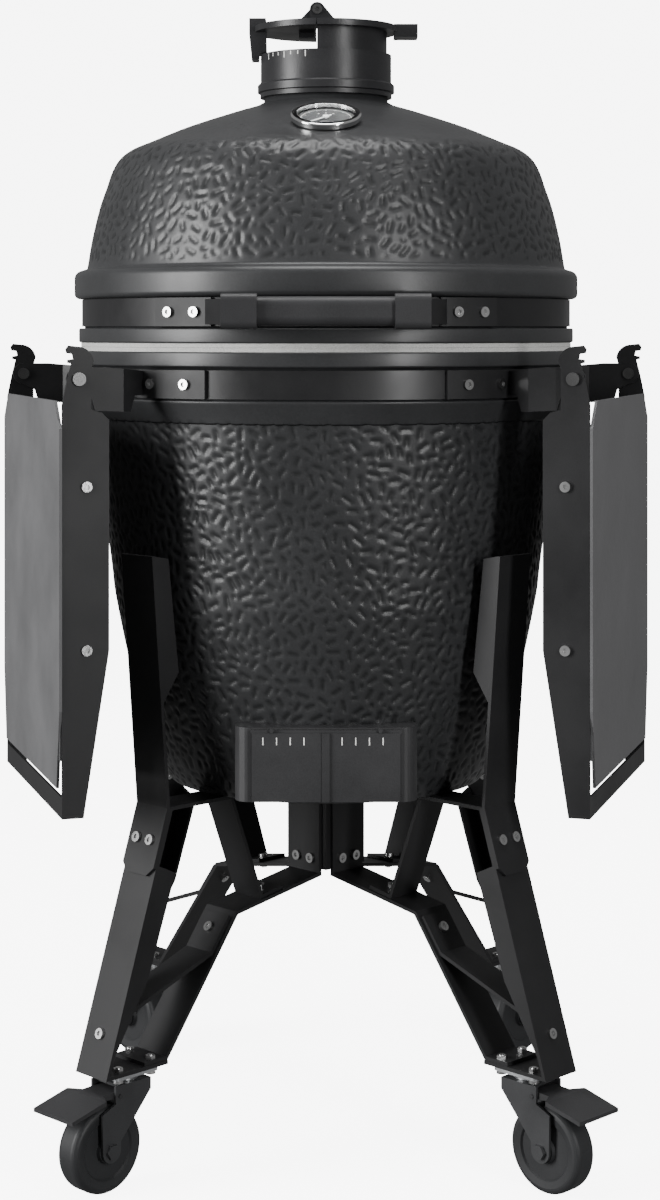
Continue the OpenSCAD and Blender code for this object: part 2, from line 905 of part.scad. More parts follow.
module thermometer_glass() {
    color([0.8, 0.9, 1, 0.3])
        at_dial()
            translate([0, 0, -3.4])
                cylinder(h = 1.8, r = case_r - 0.2);
}

// ---------- side shelves ----------
// A shelf is drawn on the right: X is the distance out from the axis, Y runs along its hinge.

module on_side(side) {
    mirror([side > 0 ? 0 : 1, 0, 0])
        rotate([0, 0, -shelf_turn])
            children();
}

// Outline of a frame arm: hooked top, pivot, and a deep side that tapers to the end bar
module arm_outline() {
    inner = shelf_face - sheet - shelf_depth;
    left = pivot_u - arm_w / 2;
    right = pivot_u + arm_w / 2;
    face = shelf_face - sheet - 0.2;
    difference() {
        polygon(concat(
            [[left, pivot_z + 10]], arc([pivot_u + 2, pivot_z + 16], 18, 170, 90, 8),
            [[right - 2, pivot_z + 35], [right + 1, pivot_z + 31], [right, pivot_z + 27],
            [right - 6, pivot_z + 26], [right - 7, pivot_z + 21], [right - 1, pivot_z + 20],
            [right - 1, pivot_z + 17], [right - 5, pivot_z + 16], [right - 3, pivot_z + 8],
            [right, pivot_z - 4], [face, shelf_top_z + 8], [face, shelf_bar_z],
            [shelf_face - 26, shelf_bar_z], [inner, taper_z], [inner, shelf_top_z - 8],
            [inner + 8, shelf_top_z], [left, shelf_top_z + 3]]));
        translate([pivot_u, pivot_z])
            circle(pivot_r + running);
        for (z = shelf_screw_z)
            translate([shelf_screw_u, z])
                circle(bolt_r + bolt_play, $fn = 24);
    }
}

shelf_screw_u = shelf_face - sheet - 26;
shelf_screw_z = [738, 568];

module shelf_arms() {
    color([0.1, 0.1, 0.11]) {
        for (s = [-1, 1])
            translate([0, s * (arm_v + sheet / 2), 0])
                rotate([90, 0, 0])
                    linear_extrude(sheet, center = true)
                        arm_outline();
        translate([shelf_face - 2 * sheet - 0.2, -arm_v - 1, shelf_bar_z])
            cube([sheet, 2 * arm_v + 2, 22]);
    }
}

// Face of the shelf: chamfered at the hinge side, drawn in towards the outer edge
module panel_outline() {
    half = shelf_len / 2;
    polygon([[-half + 26, shelf_top_z + 12], [half - 26, shelf_top_z + 12], [half, shelf_top_z - 16],
        [half, shelf_end_z + 82], [half - 15, shelf_end_z], [-half + 15, shelf_end_z],
        [-half, shelf_end_z + 82], [-half, shelf_top_z - 16]]);
}

module shelf_panel() {
    skirt = 38;
    skirt_v = arm_v - 0.3 - sheet;
    color([0.35, 0.35, 0.36]) {
        translate([shelf_face - sheet, 0, 0])
            rotate([90, 0, 90])
                linear_extrude(sheet)
                    panel_outline();
        for (s = [-1, 1])
            difference() {
                translate([0, s * (skirt_v + sheet / 2), 0])
                    rotate([90, 0, 0])
                        linear_extrude(sheet, center = true)
                            polygon([[shelf_face - sheet - skirt, shelf_top_z - 14],
                                [shelf_face - 1, shelf_top_z - 14],
                                [shelf_face - 1, shelf_end_z + 30],
                                [shelf_face - sheet - 16, shelf_end_z + 30],
                                [shelf_face - sheet - skirt, taper_z - 10]]);
                for (z = shelf_screw_z)
                    translate([shelf_screw_u, s * (skirt_v + sheet / 2), z])
                        rotate([90, 0, 0])
                            cylinder(h = 3 * sheet, r = bolt_r + bolt_play, center = true, $fn = 24);
            }
    }
}

module shelf_screws() {
    color([0.7, 0.7, 0.7])
        for (s = [-1, 1], z = shelf_screw_z)
            translate([shelf_screw_u, s * (arm_v + sheet), z])
                rotate([s > 0 ? -90 : 90, 0, 0])
                    bolt(bolt_r, 2 * sheet + 0.3, nut = true);
}

module shelf_arms_left() {
    on_side(-1)
        shelf_arms();
}

module shelf_arms_right() {
    on_side(1)
        shelf_arms();
}

module shelf_panel_left() {
    on_side(-1)
        shelf_panel();
}

module shelf_panel_right() {
    on_side(1)
        shelf_panel();
}

module shelf_screws_left() {
    on_side(-1)
        shelf_screws();
}

module shelf_screws_right() {
    on_side(1)
        shelf_screws();
}

// Side view of a bracket's arm, from the band to the pivot
module ear_outline() {
    ear_r = 12;
    foot = band_out - 43;
    polygon([[foot, base_band_z + 3], [foot + 22, base_band_z + 3], [foot + 28, base_band_z - 14],
        [pivot_u - 18, base_band_z - 12], [pivot_u - 14, base_band_z + 2],
        [pivot_u, pivot_z - ear_r], [pivot_u, pivot_z + ear_r], [pivot_u - 30, pivot_z + ear_r],
        [foot, base_band_z + band_h - 2]]);
    translate([pivot_u, pivot_z])
        circle(ear_r);
}

// Two brackets a side: a plate bolted to the band, bent outwards to an ear inside the shelf's arm
module shelf_brackets() {
    r_in = band_out + seat;
    mid = 90 - shelf_turn;
    bend = mid - shelf_bolt_angles[1] - 2.8;
    root = (r_in + 0.6) * [cos(bend), -sin(bend)];
    color([0.08, 0.08, 0.09])
        for (side = [-1, 1])
            on_side(side)
                for (s = [0, 1])
                    mirror([0, s, 0]) {
                        band_plate(base_band_z, band_h, shelf_bolt_angles[0] - 5 - mid, 1.5 - bend,
                            [for (a = shelf_bolt_angles) a - mid]);
                        difference() {
                            intersection() {
                                translate([0, 0, base_band_z - 20])
                                    linear_extrude(90)
                                        polygon(thick_path([root, [root[0] + 29, -ear_v],
                                            [pivot_u + 20, -ear_v]], ear_t));
                                rotate([90, 0, 0])
                                    linear_extrude(ear_v + 10)
                                        ear_outline();
                            }
                            translate([pivot_u, 0, pivot_z])
                                rotate([90, 0, 0])
                                    cylinder(h = ear_v + 20, r = pivot_r + running);
                        }
                    }
}

// Pivot pins with a head outside the arm and a collar inside the ear
module shelf_pins() {
    play = 0.3;
    reach_in = arm_v + sheet + play - ear_v + ear_t + play;
    color([0.3, 0.3, 0.3])
        for (side = [-1, 1])
            on_side(side)
                for (s = [-1, 1])
                    translate([pivot_u, s * (arm_v + sheet + play), pivot_z])
                        rotate([s > 0 ? 90 : -90, 0, 0]) {
                            cylinder(h = reach_in + 1, r = pivot_r, $fn = 48);
                            translate([0, 0, -2.5])
                                cylinder(h = 2.5, r = pivot_r + 3, $fn = 48);
                            translate([0, 0, reach_in])
                                cylinder(h = 2.4, r = pivot_r + 2.5, $fn = 48);
                        }
}

// ---------- stand ----------
// A corner's pieces are drawn with X as the distance out from the axis along its diagonal.

module each_corner() {
    for (a = CORNERS)
        rotate([0, 0, a])
            children();
}

// Bolt whose head lies on a face at [x, z] and points along the tilt from level
module leg_bolt(x, z, tilt, across, grip) {
    translate([x, across, z])
        rotate([0, 90 - tilt, 0])
            bolt(bolt_r, grip);
}

module leg_hole(x, z, tilt, across) {
    translate([x, across, z])
        rotate([0, 90 - tilt, 0])
            cylinder(h = 40, r = bolt_r + bolt_play, center = true, $fn = 24);
}

knee_bolts = [-10.7, 10.7];
post_bolts = [-11, 11];
post_bolt_z = 302;
foot_bolts = [[swivel_r - 22, 17], [swivel_r - 22, -17], [swivel_r + 22, 17], [swivel_r + 22, -17]];
strut_bolt_z = 243;
tab_x = 104;

module upper_arm() {
    tab_z = 323;
    depth = 25;
    flange_z = 506;
    run = (arm_top_r - knee_r) / (arm_top_z - knee_z);
    lean = atan(run);
    chamfer = 9;
    difference() {
        union() {
            bent_strip([[arm_top_r, arm_top_z], [knee_r, knee_z], [leg_outer(tab_z), tab_z]],
                plate, strip_w);
            for (s = [-1, 1])
                translate([0, s * (strip_w / 2 - plate / 2), 0])
                    rotate([90, 0, 0])
                        linear_extrude(plate, center = true)
                            polygon([[arm_top_r + 1, arm_top_z],
                                [arm_top_r - depth + 6, arm_top_z - 4],
                                [arm_top_r - depth - (arm_top_z - flange_z) * run + 4, flange_z + 30],
                                [knee_r + (flange_z - knee_z) * run, flange_z],
                                [knee_r + (flange_z - knee_z) * run + 1, flange_z]]);
        }
        for (y = knee_bolts)
            leg_hole(leg_outer(knee_bolt_z), knee_bolt_z, leg_tilt, y);
        for (s = [-1, 1])
            translate([leg_outer(tab_z), s * strip_w / 2, tab_z])
                rotate([0, -leg_tilt, 0])
                    rotate([45, 0, 0])
                        cube([4 * plate, chamfer * 1.414, chamfer * 1.414], center = true);
    }
}

module stand_upper_arms() {
    color([0.1, 0.1, 0.11])
        each_corner()
            upper_arm();
}

// Channel leg with a folded foot plate
module lower_leg() {
    flange = 22;
    top = 335;
    low = 215;
    end = 145;
    difference() {
        union() {
            bent_strip([[knee_r, knee_z], [foot_r, foot_z], [foot_r - 85, foot_z]], -plate, strip_w);
            for (s = [-1, 1])
                translate([0, s * (strip_w / 2 - plate / 2), 0])
                    rotate([90, 0, 0])
                        linear_extrude(plate, center = true)
                            polygon([[leg_outer(top) - 1, top], [leg_inner(top) - flange, top - 12],
                                [leg_inner(low) - flange, low], [leg_inner(end), end],
                                [leg_outer(end) - 1, end]]);
        }
        for (y = knee_bolts)
            leg_hole(leg_outer(knee_bolt_z), knee_bolt_z, leg_tilt, y);
        leg_hole(leg_outer(brace_bolt_z), brace_bolt_z, leg_tilt, 0);
        for (p = foot_bolts)
            leg_hole(p[0], foot_z, 90, p[1]);
    }
}

module stand_lower_legs() {
    color([0.1, 0.1, 0.11])
        each_corner()
            lower_leg();
}

// Folded strip from the foot plate up to the hub
module strut() {
    difference() {
        bent_strip([[strut_foot[0] + 32, strut_foot[1]], strut_foot, strut_knee, strut_end,
            [hub_half, strut_top_z]], -plate, strip_w - 2);
        for (y = post_bolts)
            leg_hole(hub_half + plate, post_bolt_z, 0, y);
        for (p = foot_bolts)
            leg_hole(p[0], foot_z, 90, p[1]);
        translate([strut_face(strut_bolt_z)[0], 0, strut_face(strut_bolt_z)[1]])
            rotate([0, atan2(strut_out[0], strut_out[1]), 0])
                cylinder(h = 30, r = bolt_r + bolt_play, center = true, $fn = 24);
        leg_hole(tab_x, strut_top(tab_x), 90 - strut_tilt, 0);
    }
}

module stand_struts() {
    color([0.1, 0.1, 0.11])
        each_corner()
            strut();
}

// Plain strip between a leg's inner face and its strut
module brace() {
    low = 150;
    bend = 182;
    near = strut_face(222) + plate * strut_out;
    far = strut_face(257) + plate * strut_out;
    difference() {
        bent_strip([[leg_inner(low), low], [leg_inner(bend), bend], near, far], plate, brace_w);
        leg_hole(leg_outer(brace_bolt_z), brace_bolt_z, leg_tilt, 0);
        translate([strut_face(strut_bolt_z)[0], 0, strut_face(strut_bolt_z)[1]])
            rotate([0, atan2(strut_out[0], strut_out[1]), 0])
                cylinder(h = 30, r = bolt_r + bolt_play, center = true, $fn = 24);
    }
}

module stand_braces() {
    color([0.1, 0.1, 0.11])
        each_corner()
            brace();
}

// Plate that the bowl rests on, folded down to the strut
module body_support() {
    low = 343;
    inner = bowl_foot_r - 13;
    top = plate / cos(strut_tilt);
    difference() {
        bent_strip([[leg_inner(low), low], [leg_inner(bowl_z), bowl_z], [inner, bowl_z],
            [tab_x + 16, strut_top(tab_x + 16) + top], [tab_x - 14, strut_top(tab_x - 14) + top]],
            plate, strip_w - 8);
        for (y = knee_bolts)
            leg_hole(leg_outer(knee_bolt_z), knee_bolt_z, leg_tilt, y);
        leg_hole(tab_x, strut_top(tab_x), 90 - strut_tilt, 0);
    }
}

module stand_supports() {
    color([0.1, 0.1, 0.11])
        each_corner()
            body_support();
}

module stand_hub() {
    bottom = 290;
    color([0.1, 0.1, 0.11])
        rotate([0, 0, 45])
            difference() {
                translate([-hub_half, -hub_half, bottom])
                    cube([2 * hub_half, 2 * hub_half, strut_top_z - bottom]);
                translate([-hub_half + 3, -hub_half + 3, bottom - 1])
                    cube([2 * hub_half - 6, 2 * hub_half - 6, strut_top_z - bottom + 2]);
                for (a = [0 : 90 : 270], y = post_bolts)
                    rotate([0, 0, a])
                        leg_hole(hub_half, post_bolt_z, 0, y);
            }
}

module corner_bolts() {
    out = strut_face(strut_bolt_z) + plate * strut_out;
    top = plate / cos(strut_tilt);
    for (y = knee_bolts)
        leg_bolt(leg_outer(knee_bolt_z) + plate * cos(leg_tilt), knee_bolt_z + plate * sin(leg_tilt),
            leg_tilt, y, 3 * plate);
    for (y = post_bolts)
        leg_bolt(hub_half + plate, post_bolt_z, 0, y, plate + 3);
    leg_bolt(leg_outer(brace_bolt_z), brace_bolt_z, leg_tilt, 0, 2 * plate);
    translate([out[0], 0, out[1]])
        rotate([0, atan2(strut_out[0], strut_out[1]), 0])
            bolt(bolt_r, 2 * plate);
    leg_bolt(tab_x + top * sin(strut_tilt) * cos(strut_tilt),
        strut_top(tab_x) + top * cos(strut_tilt) * cos(strut_tilt), 90 - strut_tilt, 0, 2 * plate);
    for (p = foot_bolts)
        translate([p[0], p[1], foot_z - mount_t])
            rotate([180, 0, 0])
                bolt(bolt_r, (p[0] < swivel_r ? 2 : 1) * plate + mount_t);
}

module stand_bolts() {
    color([0.8, 0.8, 0.8])
        each_corner()
            corner_bolts();
}

// ---------- casters ----------

// Fixed half of a caster: plate, bearing race and kingpin
module caster_mount() {
    difference() {
        translate([swivel_r, 0, foot_z - mount_t])
            linear_extrude(mount_t)
                round_rect(58, strip_w - 4, 4);
        for (p = foot_bolts)
            leg_hole(p[0], foot_z, 90, p[1]);
    }
    translate([swivel_r, 0, foot_z - mount_t - race_h])
        cylinder(h = race_h, r = 15);
    translate([swivel_r, 0, fork_top - fork_t - fork_gap - 4])
        cylinder(h = foot_z - mount_t - fork_top + fork_t + fork_gap + 4, r = kingpin_r);
    translate([swivel_r, 0, fork_top - fork_t - fork_gap - 4])
        cylinder(h = 4, r = kingpin_r + 3.5, $fn = 6);
}

module caster_mounts() {
    color([0.75, 0.75, 0.75])
        each_corner()
            caster_mount();
}

// Fork cheek: wide under the top plate, narrowing to the axle
module cheek_outline() {
    difference() {
        union() {
            polygon([[swivel_r - 20, fork_top], [swivel_r - 20, fork_top - 12],
                [wheel_x - 12, wheel_r + 8], [wheel_x - 12, wheel_r],
                [wheel_x + 12, wheel_r], [wheel_x + 13, fork_top - 26],
                [swivel_r + 28, fork_top - 18], [swivel_r + 28, fork_top]]);
            translate([wheel_x, wheel_r])
                circle(12);
        }
        translate([wheel_x, wheel_r])
            circle(axle_r + bolt_play);
        translate(pedal_pin)
            circle(pedal_pin_r + running);
    }
}

module caster_fork() {
    color([0.25, 0.25, 0.26]) {
        difference() {
            translate([swivel_r - 20, -fork_in - fork_t, fork_top - fork_t])
                cube([42, 2 * (fork_in + fork_t), fork_t]);
            translate([swivel_r, 0, fork_top - fork_t - 1])
                cylinder(h = fork_t + 2, r = kingpin_r + running);
        }
        for (s = [-1, 1])
            translate([0, s * (fork_in + fork_t / 2), 0])
                rotate([90, 0, 0])
                    linear_extrude(fork_t, center = true)
                        cheek_outline();
    }
    color([0.7, 0.7, 0.7])
        translate([wheel_x, 0, wheel_r])
            rotate([90, 0, 0]) {
                cylinder(h = 2 * (fork_in + fork_t + 4), r = axle_r, center = true, $fn = 48);
                for (s = [-1, 1])
                    translate([0, 0, s * (fork_in + fork_t + 2.2)])
                        cylinder(h = 4, r = axle_r + 3, center = true, $fn = 6);
            }
}

// Section of a wheel, from its bore out to its tread
module wheel_outline() {
    half = wheel_w / 2;
    bore = axle_r + running;
    polygon(concat(
        [[bore, -half - 1.5], [bore + 8, -half - 1.5], [bore + 9, -half + 3],
        [wheel_r - 16, -half + 3], [wheel_r - 14, -half + 1]],
        arc([wheel_r - 7, -half + 7], 7, -90, 0, 5),
        arc([wheel_r - 7, half - 7], 7, 0, 90, 5),
        [[wheel_r - 14, half - 1], [wheel_r - 16, half - 3], [bore + 9, half - 3],
        [bore + 8, half + 1.5], [bore, half + 1.5]]));
}

module caster_wheel() {
    color([0.3, 0.3, 0.3])
        translate([wheel_x, 0, wheel_r])
            rotate([90, 0, 0])
                rotate_extrude()
                    wheel_outline();
}

// Foot pedal that tips on a pin between the fork's cheeks
module brake_pedal() {
    tip = swivel_r + 95;
    half = fork_in - 0.5;
    side = [[pedal_pin[0] - 4, pedal_pin[1] - 3], [pedal_pin[0] + 30, 100], [tip, 90],
        [tip, 94], [pedal_pin[0] + 30, 104.5], [pedal_pin[0] - 4, 106]];
    color([0.2, 0.2, 0.2]) {
        intersection() {
            rotate([90, 0, 0])
                linear_extrude(64, center = true)
                    polygon(side);
            linear_extrude(200)
                polygon([[pedal_pin[0] - 4, -half], [swivel_r + 42, -half], [swivel_r + 50, -32],
                    [tip, -32], [tip, 32], [swivel_r + 50, 32], [swivel_r + 42, half],
                    [pedal_pin[0] - 4, half]]);
        }
        translate([pedal_pin[0], 0, pedal_pin[1]])
            rotate([90, 0, 0])
                cylinder(h = 2 * (fork_in + fork_t + 1), r = pedal_pin_r, center = true, $fn = 32);
    }
}

module caster_fork_front_left() {
    rotate([0, 0, FRONT_LEFT])
        caster_fork();
}

module caster_fork_front_right() {
    rotate([0, 0, FRONT_RIGHT])
        caster_fork();
}

module caster_fork_rear_left() {
    rotate([0, 0, REAR_LEFT])
        caster_fork();
}

module caster_fork_rear_right() {
    rotate([0, 0, REAR_RIGHT])
        caster_fork();
}

module caster_wheel_front_left() {
    rotate([0, 0, FRONT_LEFT])
        caster_wheel();
}

module caster_wheel_front_right() {
    rotate([0, 0, FRONT_RIGHT])
        caster_wheel();
}

module caster_wheel_rear_left() {
    rotate([0, 0, REAR_LEFT])
        caster_wheel();
}

module caster_wheel_rear_right() {
    rotate([0, 0, REAR_RIGHT])
        caster_wheel();
}

module brake_pedal_left() {
    rotate([0, 0, FRONT_LEFT])
        brake_pedal();
}

module brake_pedal_right() {
    rotate([0, 0, FRONT_RIGHT])
        brake_pedal();
}

base_shell();
base_gasket();
base_band();
base_bolts();
base_hinge_bracket();
hinge_pin();
hinge_springs();
firebox();
fire_ring();
charcoal_grate();
cooking_grate();
ash_door_frame();
ash_door_left();
ash_door_right();
lid_shell();
lid_gasket();
lid_band();
lid_hinge_bracket();
lid_bolts();
handle_brackets();
handle_ends();
handle_grip();
vent_base();
vent_hood();
vent_flap();
vent_bolts();
thermometer_case();
thermometer_probe();
thermometer_bezel();
thermometer_dial();
thermometer_needle();
thermometer_glass();
shelf_brackets();
shelf_pins();
shelf_arms_left();
shelf_arms_right();
shelf_panel_left();
shelf_panel_right();
shelf_screws_left();
shelf_screws_right();
stand_upper_arms();
stand_lower_legs();
stand_struts();
stand_braces();
stand_supports();
stand_hub();
stand_bolts();
caster_mounts();
caster_fork_front_left();
caster_fork_front_right();
caster_fork_rear_left();
caster_fork_rear_right();
caster_wheel_front_left();
caster_wheel_front_right();
caster_wheel_rear_left();
caster_wheel_rear_right();
brake_pedal_left();
brake_pedal_right();
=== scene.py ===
"""Kamado ceramic grill: glaze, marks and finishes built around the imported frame, and its stage."""

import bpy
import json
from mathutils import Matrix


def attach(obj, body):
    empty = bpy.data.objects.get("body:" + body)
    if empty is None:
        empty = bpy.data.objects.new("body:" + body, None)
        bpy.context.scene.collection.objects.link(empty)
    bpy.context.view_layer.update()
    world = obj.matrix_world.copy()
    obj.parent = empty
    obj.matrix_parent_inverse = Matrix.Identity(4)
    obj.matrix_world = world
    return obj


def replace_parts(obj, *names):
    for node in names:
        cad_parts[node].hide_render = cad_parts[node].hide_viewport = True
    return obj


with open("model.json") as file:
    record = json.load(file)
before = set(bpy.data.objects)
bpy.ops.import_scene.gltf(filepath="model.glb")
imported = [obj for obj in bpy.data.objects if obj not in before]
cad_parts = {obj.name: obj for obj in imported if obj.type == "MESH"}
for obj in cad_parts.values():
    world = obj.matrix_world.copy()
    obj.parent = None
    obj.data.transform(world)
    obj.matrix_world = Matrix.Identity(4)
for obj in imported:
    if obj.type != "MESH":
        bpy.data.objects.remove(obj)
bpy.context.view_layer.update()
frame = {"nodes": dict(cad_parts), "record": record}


import json
import math

import bmesh
import bpy
import numpy as np
from bpy.props import FloatProperty, FloatVectorProperty, IntProperty, PointerProperty
from mathutils import Matrix, Vector

bl_info = {
    "name": "Kamado Ceramic Grill",
    "version": (1, 0, 0),
    "blender": (4, 5, 0),
    "location": "View3D > Sidebar > Grill",
    "description": "Builds the glaze, marks, finishes and stage of a kamado ceramic grill",
    "category": "Object",
}

MM = 0.001
LID_HINGE_Y, LID_HINGE_Z = 0.332, 0.8824
DIAL_CENTRE = (0.0, -0.176, 1.1344)
DIAL_TILT = math.radians(24)


# ---------- sizes and colours that a user would change ----------


def length(name, description, default, low=0.0001, high=1.0):
    return FloatProperty(
        name=name, description=description, default=default, min=low, max=high,
        subtype="DISTANCE", unit="LENGTH", precision=4,
    )


def colour(name, description, default):
    return FloatVectorProperty(
        name=name, description=description, default=default, size=3, min=0.0, max=1.0,
        subtype="COLOR",
    )


def share(name, description, default):
    return FloatProperty(
        name=name, description=description, default=default, min=0.0, max=1.0,
        subtype="FACTOR",
    )


class GrillGlazeSettings(bpy.types.PropertyGroup):
    dent_length: length("Dent Length", "Length of the longest dents in the glaze", 0.0160)
    dent_width: length("Dent Width", "Width of the dents", 0.0074)
    dent_depth: length("Dent Depth", "Depth of the dents below the glaze", 0.0012)
    ridge: length("Ridge", "Least width of the glaze left between two dents", 0.0015)
    grid: length("Mesh Step", "Distance between the rings and columns of the mesh", 0.0023)
    seed: IntProperty(name="Seed", description="Number that picks the pattern", default=11)
    tint: colour("Glaze", "Colour of the glaze on the ridges", (0.022, 0.0225, 0.0235))
    # Painted shade: the colour given to the dents' floors, darker than the glaze.
    painted_dent_shade: colour("Painted Dent Shade", "Colour painted in the dents as shade", (0.012, 0.0125, 0.013))
    roughness: share("Roughness", "Roughness of the glaze", 0.40)


class GrillMetalSettings(bpy.types.PropertyGroup):
    black: colour("Powder Coat", "Colour of the stand, bands and brackets", (0.009, 0.009, 0.0095))
    shelf: colour("Shelf Grey", "Colour of the shelf panels", (0.070, 0.070, 0.072))
    steel: colour("Bright Steel", "Colour of the bolts and screws", (0.46, 0.46, 0.46))
    coil_wire: length("Spring Wire", "Diameter of the hinge spring's wire", 0.0029)
    coil_turns: IntProperty(
        name="Spring Turns", description="Turns of each hinge spring", default=16, min=4, max=40
    )


class GrillMarkSettings(bpy.types.PropertyGroup):
    paint: colour("Mark Paint", "Colour of the marks", (0.62, 0.62, 0.60))
    arc_radius: length("Scale Radius", "Radius of the arc on the dial", 0.0275)
    ticks: IntProperty(
        name="Scale Ticks", description="Ticks along the arc on the dial", default=13, min=3, max=40
    )


class GrillStageSettings(bpy.types.PropertyGroup):
    floor: colour("Floor", "Colour of the floor and backdrop", (0.86, 0.86, 0.86))
    glow: FloatProperty(
        name="Backdrop Glow", description="Light that the backdrop gives out",
        default=7.0, min=0, max=20,
    )
    lens: FloatProperty(
        name="Lens", description="Focal length of the camera", default=68.85, min=10, max=300,
        unit="CAMERA",
    )
    distance: length("Camera Distance", "Distance from the bowl's axis to the camera", 2.639, 0.5, 10)
    eye: length("Camera Height", "Height of the camera above the floor", 0.901, 0.1, 3)


class GrillSettings(bpy.types.PropertyGroup):
    glaze: PointerProperty(type=GrillGlazeSettings)
    metal: PointerProperty(type=GrillMetalSettings)
    marks: PointerProperty(type=GrillMarkSettings)
    stage: PointerProperty(type=GrillStageSettings)


# ---------- curves and meshes ----------


def through(points, n):
    """Smooth line through the points, with n steps between each two."""
    p = [np.array(q, float) for q in points]
    p = [p[0]] + p + [p[-1]]
    out = []
    for i in range(1, len(p) - 2):
        a, b, c, d = p[i - 1 : i + 3]
        for t in np.arange(n) / n:
            out.append(
                0.5 * (2 * b + (c - a) * t + (2 * a - 5 * b + 4 * c - d) * t * t
                       + (3 * b - a - 3 * c + d) * t ** 3)
            )
    return out + [p[-1]]


def arc(centre, radius, start, end, n):
    """Points on an arc, with its angles in degrees."""
    turn = np.radians(np.linspace(start, end, n + 1))
    return [np.array(centre) + radius * np.array([math.cos(t), math.sin(t)]) for t in turn]


def even(points, step):
    """The same line with points a step apart."""
    p = np.array(points, float)
    run = np.concatenate([[0], np.cumsum(np.hypot(*np.diff(p, axis=0).T))])
    at = np.linspace(0, run[-1], max(2, int(round(run[-1] / step))) + 1)
    return list(np.column_stack([np.interp(at, run, p[:, 0]), np.interp(at, run, p[:, 1])]))


def object_from(bm, name, body, material, smooth=True):
    mesh = bpy.data.meshes.new(name)
    bm.to_mesh(mesh)
    bm.free()
    if smooth:
        mesh.polygons.foreach_set("use_smooth", [True] * len(mesh.polygons))
    mesh.materials.append(material)
    piece = bpy.data.objects.new(name, mesh)
    bpy.context.scene.collection.objects.link(piece)
    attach(piece, body)
    return piece


def revolved(profile, steps):
    """Surface of a profile, given as radius and height in millimetres, turned about the Z axis."""
    bm = bmesh.new()
    verts = [bm.verts.new((r * MM, 0, z * MM)) for r, z in profile]
    edges = [bm.edges.new(pair) for pair in zip(verts, verts[1:])]
    bmesh.ops.spin(
        bm, geom=verts + edges, cent=(0, 0, 0), axis=(0, 0, 1), angle=2 * math.pi,
        steps=steps, use_merge=True,
    )
    bmesh.ops.remove_doubles(bm, verts=bm.verts, dist=1e-6)
    return bm


def face_outwards(bm, outwards=True):
    """Turns every face away from the middle of the shell, or towards it."""
    bm.normal_update()
    middle = Vector((0, 0, sum(v.co.z for v in bm.verts) / len(bm.verts)))
    lean = sum(f.normal.dot(f.calc_center_median() - middle) * f.calc_area() for f in bm.faces)
    if (lean > 0) != outwards:
        bmesh.ops.reverse_faces(bm, faces=bm.faces)


def box_at(bm, low, high):
    made = bmesh.ops.create_cube(bm, size=1)["verts"]
    low, high = Vector(low), Vector(high)
    bmesh.ops.scale(bm, vec=high - low, verts=made)
    bmesh.ops.translate(bm, vec=(low + high) / 2, verts=made)
    return made


# ---------- dented glaze ----------


# Share of the full length and of the full width, and tries for each square millimetre
DENT_SIZES = ((1.0, 1.0, 0.04), (0.8, 0.92, 0.05), (0.6, 0.84, 0.06), (0.42, 0.72, 0.06))


class Dents:
    """Round-ended dents laid at random, without touching, on a band unrolled in millimetres."""

    def __init__(self, height, radius_at, settings):
        self.height = height
        self.radius_at = radius_at
        self.r_ref = max(radius_at(h) for h in np.linspace(0, height, 50))
        self.cols = int(2 * math.pi * self.r_ref)
        self.rng = np.random.default_rng(settings.seed)
        long, wide, gap = (v / MM for v in (settings.dent_length, settings.dent_width, settings.ridge))
        self.laid = []
        taken = np.zeros((int(height) + 2, self.cols), bool)
        area = height * self.cols
        for share_of, w, per in DENT_SIZES:
            self.lay(taken, long * share_of, wide * w, gap, int(area * per))
        self.draw(wide)

    def near(self, s, c, angle, half, pad, cell):
        """Rows, columns and distance from a dent's middle line over the cells around it."""
        k = self.radius_at(s) / self.r_ref
        reach = half + pad
        top = min(int(self.height / cell) + 1, int((s + reach) / cell) + 2)
        rows = np.arange(max(0, int((s - reach) / cell)), top)
        cols = np.arange(int((c - reach / k) / cell), int((c + reach / k) / cell) + 2)
        ds = (rows * cell - s)[:, None]
        dc = ((cols * cell - c) * k)[None, :]
        sn, cs = math.sin(angle), math.cos(angle)
        along = np.clip(ds * sn + dc * cs, -half, half)
        return rows, cols, np.hypot(ds - along * sn, dc - along * cs)

    def lay(self, taken, long, wide, gap, tries):
        places = self.rng.random((tries, 3))
        for s, c, turn in places * [self.height, self.cols, math.pi]:
            if taken[int(s), int(c) % self.cols]:
                continue
            half = (long * self.rng.uniform(0.85, 1.1) - wide) / 2
            rows, cols, d = self.near(s, c, turn, half, wide / 2 + gap, 1.0)
            cells = np.ix_(rows, cols % self.cols)
            if (taken[cells] & (d < wide / 2 + gap)).any():
                continue
            taken[cells] |= d < wide / 2
            self.laid.append((s, c, turn, half, wide))

    def draw(self, wide):
        self.cell = 0.5
        self.map = np.zeros((int(self.height / self.cell) + 2, int(self.cols / self.cell)), np.float32)
        edge = wide * 0.34
        for s, c, turn, half, w in self.laid:
            rows, cols, d = self.near(s, c, turn, half, w / 2, self.cell)
            rows, d = rows[rows < len(self.map)], d[: (rows < len(self.map)).sum()]
            t = np.clip((w / 2 - d) / edge, 0, 1)
            cells = np.ix_(rows, cols % self.map.shape[1])
            self.map[cells] = np.maximum(self.map[cells], t * t * (3 - 2 * t))

    def at(self, s, turn):
        """Depth from 0 to 1 at heights s along the band and turns about the axis."""
        rows, cols = self.map.shape
        y = np.clip(s / self.cell, 0, rows - 1.001)
        x = (turn / (2 * math.pi) % 1.0) * cols
        i, j = y.astype(int), x.astype(int) % cols
        u, v = y - i, x - np.floor(x)
        k = (j + 1) % cols
        m = self.map
        return (m[i, j] * (1 - u) * (1 - v) + m[i + 1, j] * u * (1 - v)
                + m[i, k] * (1 - u) * v + m[i + 1, k] * u * v)


